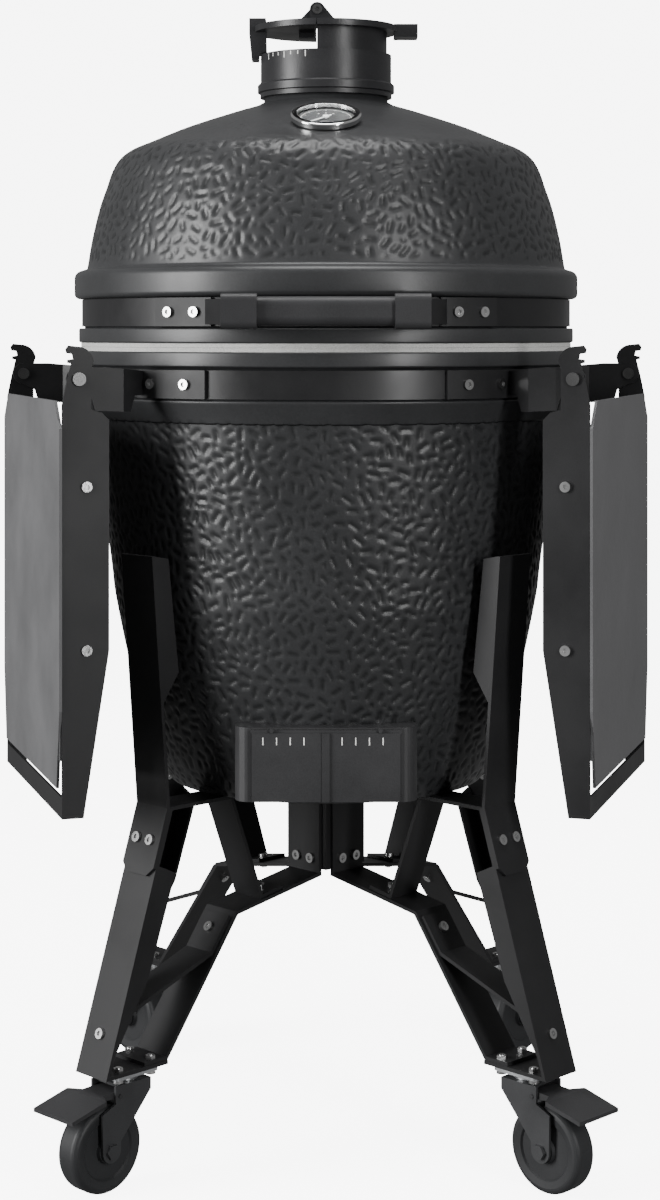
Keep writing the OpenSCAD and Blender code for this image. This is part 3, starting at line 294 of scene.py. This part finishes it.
def sink(piece, line, dents, fade, depth):
    """Moves a revolved skin's vertices in by the dents, and keeps the depth as an attribute, which the glaze
    uses to paint shade in the dents.
    """
    mesh = piece.data
    co = np.empty(len(mesh.vertices) * 3)
    mesh.vertices.foreach_get("co", co)
    co = co.reshape(-1, 3)
    r, z = np.hypot(co[:, 0], co[:, 1]) / MM, co[:, 2] / MM
    p = np.array(line)
    run = np.concatenate([[0], np.cumsum(np.hypot(*np.diff(p, axis=0).T))])
    up = p[0, 1] < p[-1, 1]
    zs, rs, ss = (p[:, 1], p[:, 0], run) if up else (p[::-1, 1], p[::-1, 0], run[::-1])
    s = np.interp(z, zs, ss)
    on_line = (np.abs(np.interp(z, zs, rs) - r) < 1.0) & (z >= zs[0] - 0.01) & (z <= zs[-1] + 0.01)
    relief = dents.at(s, np.arctan2(co[:, 1], co[:, 0])) * fade(z) * on_line
    slope = np.interp(z, zs, np.gradient(rs, zs))
    hit = relief > 0
    out = np.column_stack([co[hit, 0] / r[hit] / MM, co[hit, 1] / r[hit] / MM, -slope[hit]])
    out /= np.linalg.norm(out, axis=1)[:, None]
    co[hit] -= out * (relief[hit] * depth)[:, None]
    mesh.vertices.foreach_set("co", co.ravel())
    mesh.attributes.new("relief", "FLOAT", "POINT").data.foreach_set("value", relief.astype(np.float32))
    mesh.update()


def join_shading(upper, lower):
    """Gives two skins that share a ring the same normals along it."""
    normals, shared = {}, {}
    for piece in (upper, lower):
        mesh = piece.data
        n = np.empty(len(mesh.vertices) * 3, np.float32)
        mesh.vertices.foreach_get("normal", n)
        co = np.empty(len(mesh.vertices) * 3, np.float32)
        mesh.vertices.foreach_get("co", co)
        n, co = n.reshape(-1, 3), np.round(co.reshape(-1, 3), 5)
        normals[piece.name] = (n, co)
        for i, key in enumerate(map(tuple, co)):
            shared.setdefault(key, []).append((piece.name, i))
    for found in shared.values():
        if len({name for name, _ in found}) == 2:
            total = sum(normals[name][0][i] for name, i in found)
            for name, i in found:
                normals[name][0][i] = total / np.linalg.norm(total)
    for piece in (upper, lower):
        piece.data.normals_split_custom_set_from_vertices(normals[piece.name][0].tolist())


def cut_faces(bm, inside):
    bmesh.ops.delete(bm, geom=[f for f in bm.faces if inside(f.calc_center_median())], context="FACES")


# ---------- materials ----------


def group_with(name, inputs, outputs):
    group = bpy.data.node_groups.new(name, "ShaderNodeTree")
    for label, kind, default in inputs:
        socket = group.interface.new_socket(label, in_out="INPUT", socket_type="NodeSocket" + kind)
        if default is not None:
            socket.default_value = default
    for label, kind in outputs:
        group.interface.new_socket(label, in_out="OUTPUT", socket_type="NodeSocket" + kind)
    return group, Wiring(group)


class Wiring:
    """Short way to add and join nodes."""

    def __init__(self, tree):
        self.tree = tree

    def node(self, kind, sockets=(), **settings):
        node = self.tree.nodes.new(kind)
        for key, value in settings.items():
            setattr(node, key, value)
        for key, value in dict(sockets).items():
            if isinstance(value, bpy.types.NodeSocket):
                self.tree.links.new(value, node.inputs[key])
            else:
                node.inputs[key].default_value = value
        return node

    def math(self, operation, a, b=0.0):
        return self.node("ShaderNodeMath", {0: a, 1: b}, operation=operation).outputs[0]

    def mix(self, factor, a, b):
        node = self.node("ShaderNodeMix", {0: factor, 6: a, 7: b}, data_type="RGBA")
        return node.outputs[2]

    def span(self, value, low, high, to_low, to_high):
        return self.node(
            "ShaderNodeMapRange",
            {"Value": value, "From Min": low, "From Max": high, "To Min": to_low, "To Max": to_high},
        ).outputs[0]

    def noise(self, vector, scale, detail=3.0, roughness=0.55):
        return self.node(
            "ShaderNodeTexNoise",
            {"Vector": vector, "Scale": scale, "Detail": detail, "Roughness": roughness},
        ).outputs["Fac"]


def grain_group():
    """Fine even grain of a coating or a moulding, with broad slow changes of tone."""
    group, w = group_with(
        "Coating Grain",
        [("Vector", "Vector", None), ("Colour", "Color", (0.02, 0.02, 0.02, 1)),
         ("Light Colour", "Color", (0.03, 0.03, 0.03, 1)), ("Grain Scale", "Float", 900.0),
         ("Low Roughness", "Float", 0.35), ("High Roughness", "Float", 0.5)],
        [("Colour", "Color"), ("Roughness", "Float"), ("Height", "Float")],
    )
    entry = w.node("NodeGroupInput").outputs
    fine = w.noise(entry["Vector"], entry["Grain Scale"], 2.0, 0.6)
    broad = w.noise(entry["Vector"], 9.0, 4.0, 0.6)
    tone = w.math("ADD", w.math("MULTIPLY", fine, 0.45), w.math("MULTIPLY", broad, 0.55))
    spread = w.span(tone, 0.36, 0.64, 0.0, 1.0)
    rough = w.node(
        "ShaderNodeMapRange",
        {"Value": broad, "From Min": 0.35, "From Max": 0.65, "To Min": entry["Low Roughness"],
         "To Max": entry["High Roughness"]},
    ).outputs[0]
    w.node(
        "NodeGroupOutput",
        {"Colour": w.mix(spread, entry["Colour"], entry["Light Colour"]),
         "Roughness": rough, "Height": fine},
    )
    return group


def wear_group():
    """Faint rubbed patches and a film of dust in the hollows of a noise."""
    group, w = group_with(
        "Rubbed Patches",
        [("Vector", "Vector", None), ("Colour", "Color", (0.02, 0.02, 0.02, 1)),
         ("Rubbed Colour", "Color", (0.05, 0.05, 0.05, 1)), ("Amount", "Float", 0.25)],
        [("Colour", "Color"), ("Mask", "Float")],
    )
    entry = w.node("NodeGroupInput").outputs
    patches = w.noise(entry["Vector"], 26.0, 6.0, 0.7)
    streaks = w.noise(entry["Vector"], 140.0, 3.0, 0.6)
    wide = w.span(patches, 0.52, 0.72, 0.0, 1.0)
    mask = w.math("MULTIPLY", wide, w.span(streaks, 0.4, 0.7, 0.2, 1.0))
    mask = w.math("MULTIPLY", mask, entry["Amount"])
    w.node("NodeGroupOutput", {"Colour": w.mix(mask, entry["Colour"], entry["Rubbed Colour"]), "Mask": mask})
    return group


def shared(name):
    makers = {"Coating Grain": grain_group, "Rubbed Patches": wear_group}
    return bpy.data.node_groups.get(name) or makers[name]()


def rgba(c, gain=1.0):
    return tuple(min(1.0, v * gain) for v in c[:3]) + (1.0,)


def coating(
    name, tint, rough, grain=900.0, bump=0.06, rubbed=0.2, metallic=0.0, coat=0.0, stretch=None,
    lift=1.5,
):
    """Painted, plated or moulded surface with grain, slow changes of gloss and rubbed patches."""
    material = bpy.data.materials.get(name)
    if material:
        return material
    material = bpy.data.materials.new(name)
    material.use_nodes = True
    material.node_tree.nodes.clear()
    w = Wiring(material.node_tree)
    place = w.node("ShaderNodeTexCoord").outputs["Object"]
    if stretch:
        place = w.node("ShaderNodeMapping", {"Vector": place, "Scale": stretch}).outputs[0]
    grains = w.node(
        "ShaderNodeGroup",
        node_tree=shared("Coating Grain"),
    )
    w.tree.links.new(place, grains.inputs["Vector"])
    grains.inputs["Colour"].default_value = rgba(tint)
    grains.inputs["Light Colour"].default_value = rgba(tint, lift)
    grains.inputs["Grain Scale"].default_value = grain
    grains.inputs["Low Roughness"].default_value = max(0.03, rough - 0.06)
    grains.inputs["High Roughness"].default_value = rough + 0.08
    rub = w.node("ShaderNodeGroup", node_tree=shared("Rubbed Patches"))
    w.tree.links.new(place, rub.inputs["Vector"])
    w.tree.links.new(grains.outputs["Colour"], rub.inputs["Colour"])
    rub.inputs["Rubbed Colour"].default_value = rgba(tint, 2.2)
    rub.inputs["Amount"].default_value = rubbed
    bumps = w.node(
        "ShaderNodeBump",
        {"Strength": bump, "Distance": 0.001, "Height": grains.outputs["Height"]},
    )
    shader = w.node(
        "ShaderNodeBsdfPrincipled",
        {"Base Color": rub.outputs["Colour"], "Roughness": grains.outputs["Roughness"],
         "Metallic": metallic, "Coat Weight": coat, "Normal": bumps.outputs[0],
         "Specular IOR Level": 0.5 if metallic else 0.28},
    )
    w.node("ShaderNodeOutputMaterial", {"Surface": shader.outputs[0]})
    return material


def glaze_material(settings):
    """Near-black satin glaze, painted darker in the dents as shade, with a thin clear coat."""
    name = "Pebbled Glaze"
    if bpy.data.materials.get(name):
        return bpy.data.materials[name]
    material = bpy.data.materials.new(name)
    material.use_nodes = True
    material.node_tree.nodes.clear()
    w = Wiring(material.node_tree)
    place = w.node("ShaderNodeTexCoord").outputs["Object"]
    relief = w.node(
        "ShaderNodeAttribute", attribute_name="relief", attribute_type="GEOMETRY"
    ).outputs["Fac"]
    grains = w.node("ShaderNodeGroup", node_tree=shared("Coating Grain"))
    w.tree.links.new(place, grains.inputs["Vector"])
    grains.inputs["Colour"].default_value = rgba(settings.tint, 0.85)
    grains.inputs["Light Colour"].default_value = rgba(settings.tint, 1.2)
    grains.inputs["Grain Scale"].default_value = 420.0
    grains.inputs["Low Roughness"].default_value = settings.roughness - 0.04
    grains.inputs["High Roughness"].default_value = settings.roughness + 0.07
    # Painted shade: the relief attribute mixes the glaze towards a darker colour the deeper a dent is.
    tone = w.mix(relief, grains.outputs["Colour"], rgba(settings.painted_dent_shade))
    bumps = w.node(
        "ShaderNodeBump",
        {"Strength": 0.10, "Distance": 0.0006, "Height": grains.outputs["Height"]},
    )
    shader = w.node(
        "ShaderNodeBsdfPrincipled",
        {"Base Color": tone, "Roughness": grains.outputs["Roughness"], "Specular IOR Level": 0.34,
         "Coat Weight": 0.08, "Coat Roughness": 0.25, "Normal": bumps.outputs[0]},
    )
    w.node("ShaderNodeOutputMaterial", {"Surface": shader.outputs[0]})
    return material


def felt_material():
    """Grey woven felt with short fibres."""
    name = "Grey Felt"
    if bpy.data.materials.get(name):
        return bpy.data.materials[name]
    material = bpy.data.materials.new(name)
    material.use_nodes = True
    material.node_tree.nodes.clear()
    w = Wiring(material.node_tree)
    place = w.node("ShaderNodeTexCoord").outputs["Object"]
    fibres = w.noise(place, 1400.0, 5.0, 0.7)
    tufts = w.noise(place, 160.0, 3.0, 0.6)
    tone = w.mix(w.span(fibres, 0.35, 0.65, 0, 1), (0.28, 0.28, 0.27, 1), (0.66, 0.66, 0.64, 1))
    height = w.math("ADD", fibres, tufts)
    bumps = w.node("ShaderNodeBump", {"Strength": 0.7, "Distance": 0.001, "Height": height})
    shader = w.node(
        "ShaderNodeBsdfPrincipled",
        {"Base Color": tone, "Roughness": 0.95, "Sheen Weight": 0.3, "Normal": bumps.outputs[0]},
    )
    w.node("ShaderNodeOutputMaterial", {"Surface": shader.outputs[0]})
    return material


def glass_material():
    """Thin clear glass with faint smears."""
    name = "Gauge Glass"
    if bpy.data.materials.get(name):
        return bpy.data.materials[name]
    material = bpy.data.materials.new(name)
    material.use_nodes = True
    material.node_tree.nodes.clear()
    w = Wiring(material.node_tree)
    place = w.node("ShaderNodeTexCoord").outputs["Object"]
    smears = w.noise(place, 120.0, 4.0, 0.6)
    shader = w.node(
        "ShaderNodeBsdfPrincipled",
        {"Base Color": (0.97, 0.98, 0.98, 1), "Roughness": w.span(smears, 0.3, 0.7, 0.01, 0.07),
         "Transmission Weight": 1.0, "IOR": 1.15},
    )
    w.node("ShaderNodeOutputMaterial", {"Surface": shader.outputs[0]})
    return material


def finish(slot_name, settings):
    """The material of each of the record's slots."""
    black = tuple(settings.metal.black)
    steel = tuple(settings.metal.steel)
    if slot_name == "glaze":
        return glaze_material(settings.glaze)
    if slot_name == "felt":
        return felt_material()
    if slot_name == "gauge_glass":
        return glass_material()
    table = {
        "band_steel": ("Band Satin Black", black, 0.36, 700.0, 0.05, 0.2),
        "bracket_steel": ("Bracket Black", black, 0.46, 800.0, 0.08, 0.2),
        "bolt_steel": ("Bright Bolts", steel, 0.24, 1500.0, 0.03, 0.1, 1.0),
        "pin_steel": ("Dark Pins", (0.10, 0.10, 0.10), 0.34, 900.0, 0.05, 0.3, 0.9),
        "fire_clay": ("Fire Clay", (0.50, 0.37, 0.26), 0.85, 260.0, 0.5, 0.5, 0.0, 0.0, None, 1.25),
        "cast_iron": ("Cast Iron", (0.030, 0.029, 0.028), 0.72, 330.0, 0.6, 0.4, 0.4),
        "grate_steel": ("Grate Steel", (0.56, 0.55, 0.54), 0.30, 900.0, 0.05, 0.3, 1.0),
        "door_steel": ("Door Satin Black", (0.022, 0.022, 0.023), 0.42, 800.0, 0.06, 0.3),
        "handle_black": ("Handle Black", (0.018, 0.018, 0.019), 0.45, 600.0, 0.10, 0.25),
        "vent_black": ("Vent Black", (0.014, 0.014, 0.015), 0.36, 520.0, 0.12, 0.2),
        "gauge_black": ("Gauge Case Black", (0.010, 0.010, 0.010), 0.22, 700.0, 0.03, 0.1),
        "chrome": ("Chrome Bezel", (0.78, 0.78, 0.78), 0.10, 1500.0, 0.01, 0.05, 1.0),
        "dial_face": ("Dial Face", (0.055, 0.055, 0.057), 0.50, 900.0, 0.03, 0.05),
        "needle_white": ("Needle White", (0.75, 0.75, 0.73), 0.45, 900.0, 0.02, 0.05),
        "shelf_frame": ("Shelf Frame Black", black, 0.48, 1100.0, 0.10, 0.15),
        "shelf_grey": ("Shelf Panel Grey", tuple(settings.metal.shelf), 0.50, 1100.0, 0.08, 0.1),
        "stand_steel": ("Stand Black", black, 0.47, 1100.0, 0.10, 0.2),
        "zinc": ("Zinc Plate", (0.42, 0.43, 0.44), 0.34, 600.0, 0.05, 0.4, 0.95),
        "fork_grey": ("Fork Grey", (0.030, 0.0305, 0.032), 0.40, 900.0, 0.06, 0.3, 0.3),
        "wheel_grey": ("Wheel Grey", (0.016, 0.0165, 0.0175), 0.52, 700.0, 0.10, 0.35),
        "pedal_black": ("Pedal Black", (0.020, 0.020, 0.021), 0.50, 600.0, 0.10, 0.3),
        "mark_paint": ("Mark Paint", tuple(settings.marks.paint), 0.55, 900.0, 0.03, 0.1),
    }
    return coating(*table[slot_name])


# ---------- the pieces ----------


def bowl_lines():
    """Lip and dented side of the bowl from the top down, and its inside from the floor up."""
    lip = [(254, 878), (280.4, 878), *arc((280.4, 876), 2, 90, 0, 5), *arc((280.4, 864), 2, 0, -90, 5),
           (275.9, 862), (275.9, 827), (277.4, 827), (277.4, 825)]
    side = through([(277.4, 825), (267.9, 803), (264.9, 790), (246, 642), (239, 590), (214, 475),
                    (196, 420), (178, 393)], 24)
    inside = through([(150, 417), (168, 432), (188, 475), (213, 590), (220, 642), (238.9, 790),
                      (254, 850), (254, 878)], 8)
    return lip, side, [(0, 417), *inside]


def lid_lines():
    """Rim of the lid, its dented side and top, its neck, and its inside from the neck down."""
    rim = [(254, 887), *arc((280.4, 889), 2, -90, 0, 5), *arc((280.4, 901), 2, 0, 90, 5), (275.9, 903),
           (275.9, 936), *arc((281.5, 942), 6, -90, 0, 8), *arc((278.5, 959), 9, 0, 80, 8), (273.4, 970)]
    side = through([(273.4, 970), (272.5, 974), (267.4, 1004), (259, 1039), (250.5, 1064), (245, 1080),
                    (237, 1094), (224, 1104.5), (202, 1114), (161, 1131), (109, 1148.5), (79, 1157.5),
                    (71, 1162)], 16)
    inside = through([(50, 1140), (60, 1134), (120, 1114), (180, 1094), (213, 1076), (228, 1050),
                      (241, 1004), (248, 960), (254, 907), (254, 887)], 6)
    return rim, side, [(71, 1167), (50, 1167)], inside


def radius_along(line):
    p = np.array(line)
    run = np.concatenate([[0], np.cumsum(np.hypot(*np.diff(p, axis=0).T))])
    return run[-1], lambda s: float(np.interp(s, run, p[:, 0]))


class GRILL_OT_bowl(bpy.types.Operator):
    """Models the bowl's dented glaze in two skins, and its inside"""

    bl_idname = "grill.bowl"
    bl_label = "Bowl"

    def execute(self, context):
        glaze = context.scene.grill.glaze
        material = finish("glaze", context.scene.grill)
        lip, side, inside = bowl_lines()
        step = glaze.grid / MM
        side = even(side, step)
        half = next(i for i, p in enumerate(side) if p[1] < 612)
        steps = int(2 * math.pi * 262 / step)
        height, radius_at = radius_along(side)
        dents = Dents(height, radius_at, glaze)

        def fade(z):
            return np.clip((806 - z) / 5, 0, 1) * np.clip((z - 394) / 3, 0, 1)

        def duct(c):
            return abs(c.x) < 0.072 and c.y < 0 and 0.411 < c.z < 0.479

        skins = []
        for name, line in (("bowl_upper", lip + side[1 : half + 1]), ("bowl_lower", side[half:] + [(0, 393)])):
            bm = revolved(line, steps)
            face_outwards(bm)
            cut_faces(bm, duct)
            skin = object_from(bm, name, "bowl_and_stand", material)
            sink(skin, side, dents, fade, glaze.dent_depth)
            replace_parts(skin, "base_shell")
            skins.append(skin)
        join_shading(*skins)
        bm = revolved(inside, 160)
        face_outwards(bm, False)
        cut_faces(bm, duct)
        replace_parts(object_from(bm, "bowl_inside", "bowl_and_stand", material), "base_shell")
        return {"FINISHED"}


class GRILL_OT_lid(bpy.types.Operator):
    """Models the lid's dented glaze, its thick rim and its inside"""

    bl_idname = "grill.lid"
    bl_label = "Lid"

    def execute(self, context):
        glaze = context.scene.grill.glaze
        material = finish("glaze", context.scene.grill)
        rim, side, neck, inside = lid_lines()
        step = glaze.grid / MM
        shoulder = next(i for i, p in enumerate(side) if p[1] > 1134)
        line = even(side[: shoulder + 1], step) + even(side[shoulder:], 4 * step)[1:]
        height, radius_at = radius_along(line)
        dents = Dents(height, radius_at, glaze)

        def fade(z):
            shoulder = 0.12 + 0.88 * np.clip((1107 - z) / 9, 0, 1)
            return np.clip((z - 975) / 4, 0, 1) * shoulder * np.clip((1140 - z) / 12, 0, 1)

        at_dial = Matrix.Translation(DIAL_CENTRE) @ Matrix.Rotation(DIAL_TILT, 4, "X")
        to_dial = at_dial.inverted()

        def socket(radius):
            def inside_socket(c):
                p = to_dial @ c
                return math.hypot(p.x, p.y) < radius and abs(p.z) < 0.06
            return inside_socket

        bm = revolved(rim + line[1:] + neck, int(2 * math.pi * 255 / step))
        face_outwards(bm)
        cut_faces(bm, socket(0.0325))
        skin = object_from(bm, "lid_skin", "lid", material)
        sink(skin, line, dents, fade, glaze.dent_depth)
        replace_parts(skin, "lid_shell")
        bm = revolved([(50, 1167), *inside], 160)
        face_outwards(bm, False)
        cut_faces(bm, socket(0.009))
        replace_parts(object_from(bm, "lid_inside", "lid", material), "lid_shell")
        return {"FINISHED"}


class GRILL_OT_dial_marks(bpy.types.Operator):
    """Models the painted arc, ticks and dots on the thermometer's dial"""

    bl_idname = "grill.dial_marks"
    bl_label = "Dial Marks"

    def execute(self, context):
        marks = context.scene.grill.marks
        bm = bmesh.new()
        z = -6.95 * MM
        r = marks.arc_radius
        start = math.radians(-45)
        corners = [bm.verts.new((r + d, 0, z)) for d in (-0.0007, 0.0)]
        edge = bm.edges.new(corners)
        bmesh.ops.spin(
            bm, geom=corners + [edge], cent=(0, 0, 0), axis=(0, 0, 1), angle=math.radians(270), steps=72
        )
        bmesh.ops.rotate(bm, verts=bm.verts, cent=(0, 0, 0), matrix=Matrix.Rotation(start, 3, "Z"))
        for i in range(marks.ticks):
            turn = start + math.radians(270) * i / (marks.ticks - 1)
            long = 0.0042 if i % 3 == 0 else 0.0026
            made = box_at(bm, (r - long, -0.00035, z), (r, 0.00035, z + 0.00008))
            bmesh.ops.rotate(bm, verts=made, cent=(0, 0, 0), matrix=Matrix.Rotation(turn, 3, "Z"))
        for x in (-0.008, 0.0, 0.008):
            made = bmesh.ops.create_circle(bm, cap_ends=True, segments=20, radius=0.0011)["verts"]
            bmesh.ops.translate(bm, vec=(x, 0.0165 - abs(x) * 0.3, z + 0.00006), verts=made)
        bmesh.ops.recalc_face_normals(bm, faces=bm.faces)
        for f in bm.faces:
            if f.normal.z < -0.5 and f.calc_center_median().z > z - 1e-6 and len(f.edges) != 4:
                f.normal_flip()
        place = Matrix.Translation(DIAL_CENTRE) @ Matrix.Rotation(DIAL_TILT, 4, "X")
        bmesh.ops.transform(bm, matrix=place, verts=bm.verts)
        paint = finish("mark_paint", context.scene.grill)
        object_from(bm, "dial_marks", "lid", paint, False)
        return {"FINISHED"}


class GRILL_OT_door_marks(bpy.types.Operator):
    """Models the painted ticks on the two ash doors and on the vent's drum"""

    bl_idname = "grill.door_marks"
    bl_label = "Door and Vent Marks"

    def execute(self, context):
        paint = finish("mark_paint", context.scene.grill)
        for name, body, first in (
            ("door_marks_left", "ash_door_left", -66.6),
            ("door_marks_right", "ash_door_right", 16.2),
        ):
            bm = bmesh.new()
            for i in range(4):
                x = first + 14.3 * i
                box_at(bm, (x * MM, -0.24072, 0.467), ((x + 1.2) * MM, -0.24035, 0.475))
            object_from(bm, name, body, paint, False)
        bm = bmesh.new()
        for i in range(7):
            turn = math.radians(-150 + 7 * i)
            tall = 0.007 if i % 3 == 0 else 0.004
            made = box_at(bm, (0.0748, -0.0005, 1.2145 - tall), (0.07505, 0.0005, 1.2145))
            bmesh.ops.rotate(bm, verts=made, cent=(0, 0, 0), matrix=Matrix.Rotation(turn, 3, "Z"))
        object_from(bm, "vent_scale", "lid", paint, False)
        return {"FINISHED"}


class GRILL_OT_hinge_coils(bpy.types.Operator):
    """Winds the two springs on the hinge pin"""

    bl_idname = "grill.hinge_coils"
    bl_label = "Hinge Springs"

    def execute(self, context):
        metal = context.scene.grill.metal
        wire, turns, per_turn = metal.coil_wire, metal.coil_turns, 24
        pitch = 0.003
        bm = bmesh.new()
        for side in (-1, 1):
            start = side * 0.042 - turns * pitch / 2
            ring = bmesh.ops.create_circle(bm, cap_ends=False, segments=8, radius=wire / 2)["verts"]
            for axis in "YZ":
                turn = Matrix.Rotation(math.pi / 2, 3, axis)
                bmesh.ops.rotate(bm, verts=ring, cent=(0, 0, 0), matrix=turn)
            seat = (start + wire / 2, LID_HINGE_Y, LID_HINGE_Z + 0.0056 + wire / 2)
            bmesh.ops.translate(bm, vec=seat, verts=ring)
            edges = list({e for v in ring for e in v.link_edges})
            steps = turns * per_turn
            bmesh.ops.spin(
                bm, geom=ring + edges, cent=(0, LID_HINGE_Y, LID_HINGE_Z), axis=(1, 0, 0),
                angle=2 * math.pi * turns, steps=steps, dvec=((turns * pitch - wire) / steps, 0, 0),
            )
        bmesh.ops.holes_fill(bm, edges=[e for e in bm.edges if e.is_boundary], sides=8)
        bmesh.ops.recalc_face_normals(bm, faces=bm.faces)
        steel = finish("pin_steel", context.scene.grill)
        coils = object_from(bm, "hinge_coils", "bowl_and_stand", steel)
        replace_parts(coils, "hinge_springs")
        return {"FINISHED"}


class GRILL_OT_finishes(bpy.types.Operator):
    """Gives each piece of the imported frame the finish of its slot"""

    bl_idname = "grill.finishes"
    bl_label = "Finishes"

    def execute(self, context):
        for part in frame["record"]["subparts"]:
            node = frame["nodes"][part["node"]]
            material = finish(part["material_slot"], context.scene.grill)
            node.data.materials.clear()
            node.data.materials.append(material)
        return {"FINISHED"}


class GRILL_OT_stage(bpy.types.Operator):
    """Sets the floor, the lights and the camera"""

    bl_idname = "grill.stage"
    bl_label = "Stage"

    def execute(self, context):
        stage = context.scene.grill.stage
        flat, curve, wall = 12400, 1600, 12000
        bm = revolved(
            [(0, 0), (flat, 0), *arc((flat, curve), curve, -90, 0, 14), (flat + curve, wall)], 96
        )
        bmesh.ops.recalc_face_normals(bm, faces=bm.faces)
        mesh = bpy.data.meshes.new("floor")
        bm.to_mesh(mesh)
        bm.free()
        mesh.polygons.foreach_set("use_smooth", [True] * len(mesh.polygons))
        floor = bpy.data.objects.new("floor", mesh)
        paper = coating("Floor Paper", tuple(stage.floor), 0.8, 60.0, 0.0, 0.0, 0.0, 0.0, None, 1.02)
        shader = next(n for n in paper.node_tree.nodes if n.type == "BSDF_PRINCIPLED")
        shader.inputs["Emission Color"].default_value = (1, 1, 1, 1)
        shader.inputs["Emission Strength"].default_value = stage.glow
        floor.data.materials.append(paper)
        floor.visible_glossy = False
        floor.visible_diffuse = False
        context.scene.collection.objects.link(floor)
        world = bpy.data.worlds.new("studio")
        world.use_nodes = True
        world.node_tree.nodes["Background"].inputs["Color"].default_value = (1.0, 1.0, 1.0, 1)
        world.node_tree.nodes["Background"].inputs["Strength"].default_value = 0.24
        context.scene.world = world
        for name, place, size, power, aim in (
            ("key", (2.1, -3.1, 1.5), (0.40, 2.6), 105, (0, 0, 0.85)),
            ("left", (-3.2, -1.5, 1.4), (1.3, 2.4), 230, (0, 0, 0.85)),
            ("top", (0.0, -0.4, 4.4), (2.4, 1.8), 150, (0, 0, 0.6)),
        ):
            light = bpy.data.lights.new(name, "AREA")
            light.shape = "RECTANGLE"
            light.size, light.size_y = size
            light.energy = power
            lamp = bpy.data.objects.new(name, light)
            lamp.location = place
            lamp.rotation_euler = (Vector(aim) - Vector(place)).to_track_quat("-Z", "Y").to_euler()
            context.scene.collection.objects.link(lamp)
        camera = bpy.data.cameras.new("camera")
        camera.sensor_width = 36
        camera.lens = stage.lens
        camera.shift_x = 4 / 1200
        camera.shift_y = -270 / 1200
        holder = bpy.data.objects.new("camera", camera)
        holder.location = (0, -stage.distance, stage.eye)
        holder.rotation_euler = (math.pi / 2, 0, 0)
        context.scene.collection.objects.link(holder)
        context.scene.camera = holder
        return {"FINISHED"}


class GRILL_PT_panel(bpy.types.Panel):
    """Lists the grill's pieces and their sizes"""

    bl_label = "Kamado Grill"
    bl_idname = "GRILL_PT_panel"
    bl_space_type = "VIEW_3D"
    bl_region_type = "UI"
    bl_category = "Grill"

    def draw(self, context):
        grill = context.scene.grill
        for title in ("Glaze", "Metal", "Marks", "Stage"):
            settings = getattr(grill, title.lower())
            box = self.layout.box()
            box.label(text=title)
            for name in settings.bl_rna.properties.keys():
                if name not in ("rna_type", "name"):
                    box.prop(settings, name)
        for operator in PIECES:
            self.layout.operator(operator.bl_idname)


PIECES = (
    GRILL_OT_bowl,
    GRILL_OT_lid,
    GRILL_OT_dial_marks,
    GRILL_OT_door_marks,
    GRILL_OT_hinge_coils,
    GRILL_OT_finishes,
    GRILL_OT_stage,
)
CLASSES = (
    GrillGlazeSettings,
    GrillMetalSettings,
    GrillMarkSettings,
    GrillStageSettings,
    GrillSettings,
    *PIECES,
    GRILL_PT_panel,
)


def register():
    for cls in CLASSES:
        bpy.utils.register_class(cls)
    bpy.types.Scene.grill = PointerProperty(type=GrillSettings)


def unregister():
    del bpy.types.Scene.grill
    for cls in reversed(CLASSES):
        bpy.utils.unregister_class(cls)


def main():
    register()
    bpy.ops.grill.stage()
    bpy.ops.grill.bowl()
    bpy.ops.grill.lid()
    bpy.ops.grill.dial_marks()
    bpy.ops.grill.door_marks()
    bpy.ops.grill.hinge_coils()
    bpy.ops.grill.finishes()


if __name__ == "__main__":
    main()
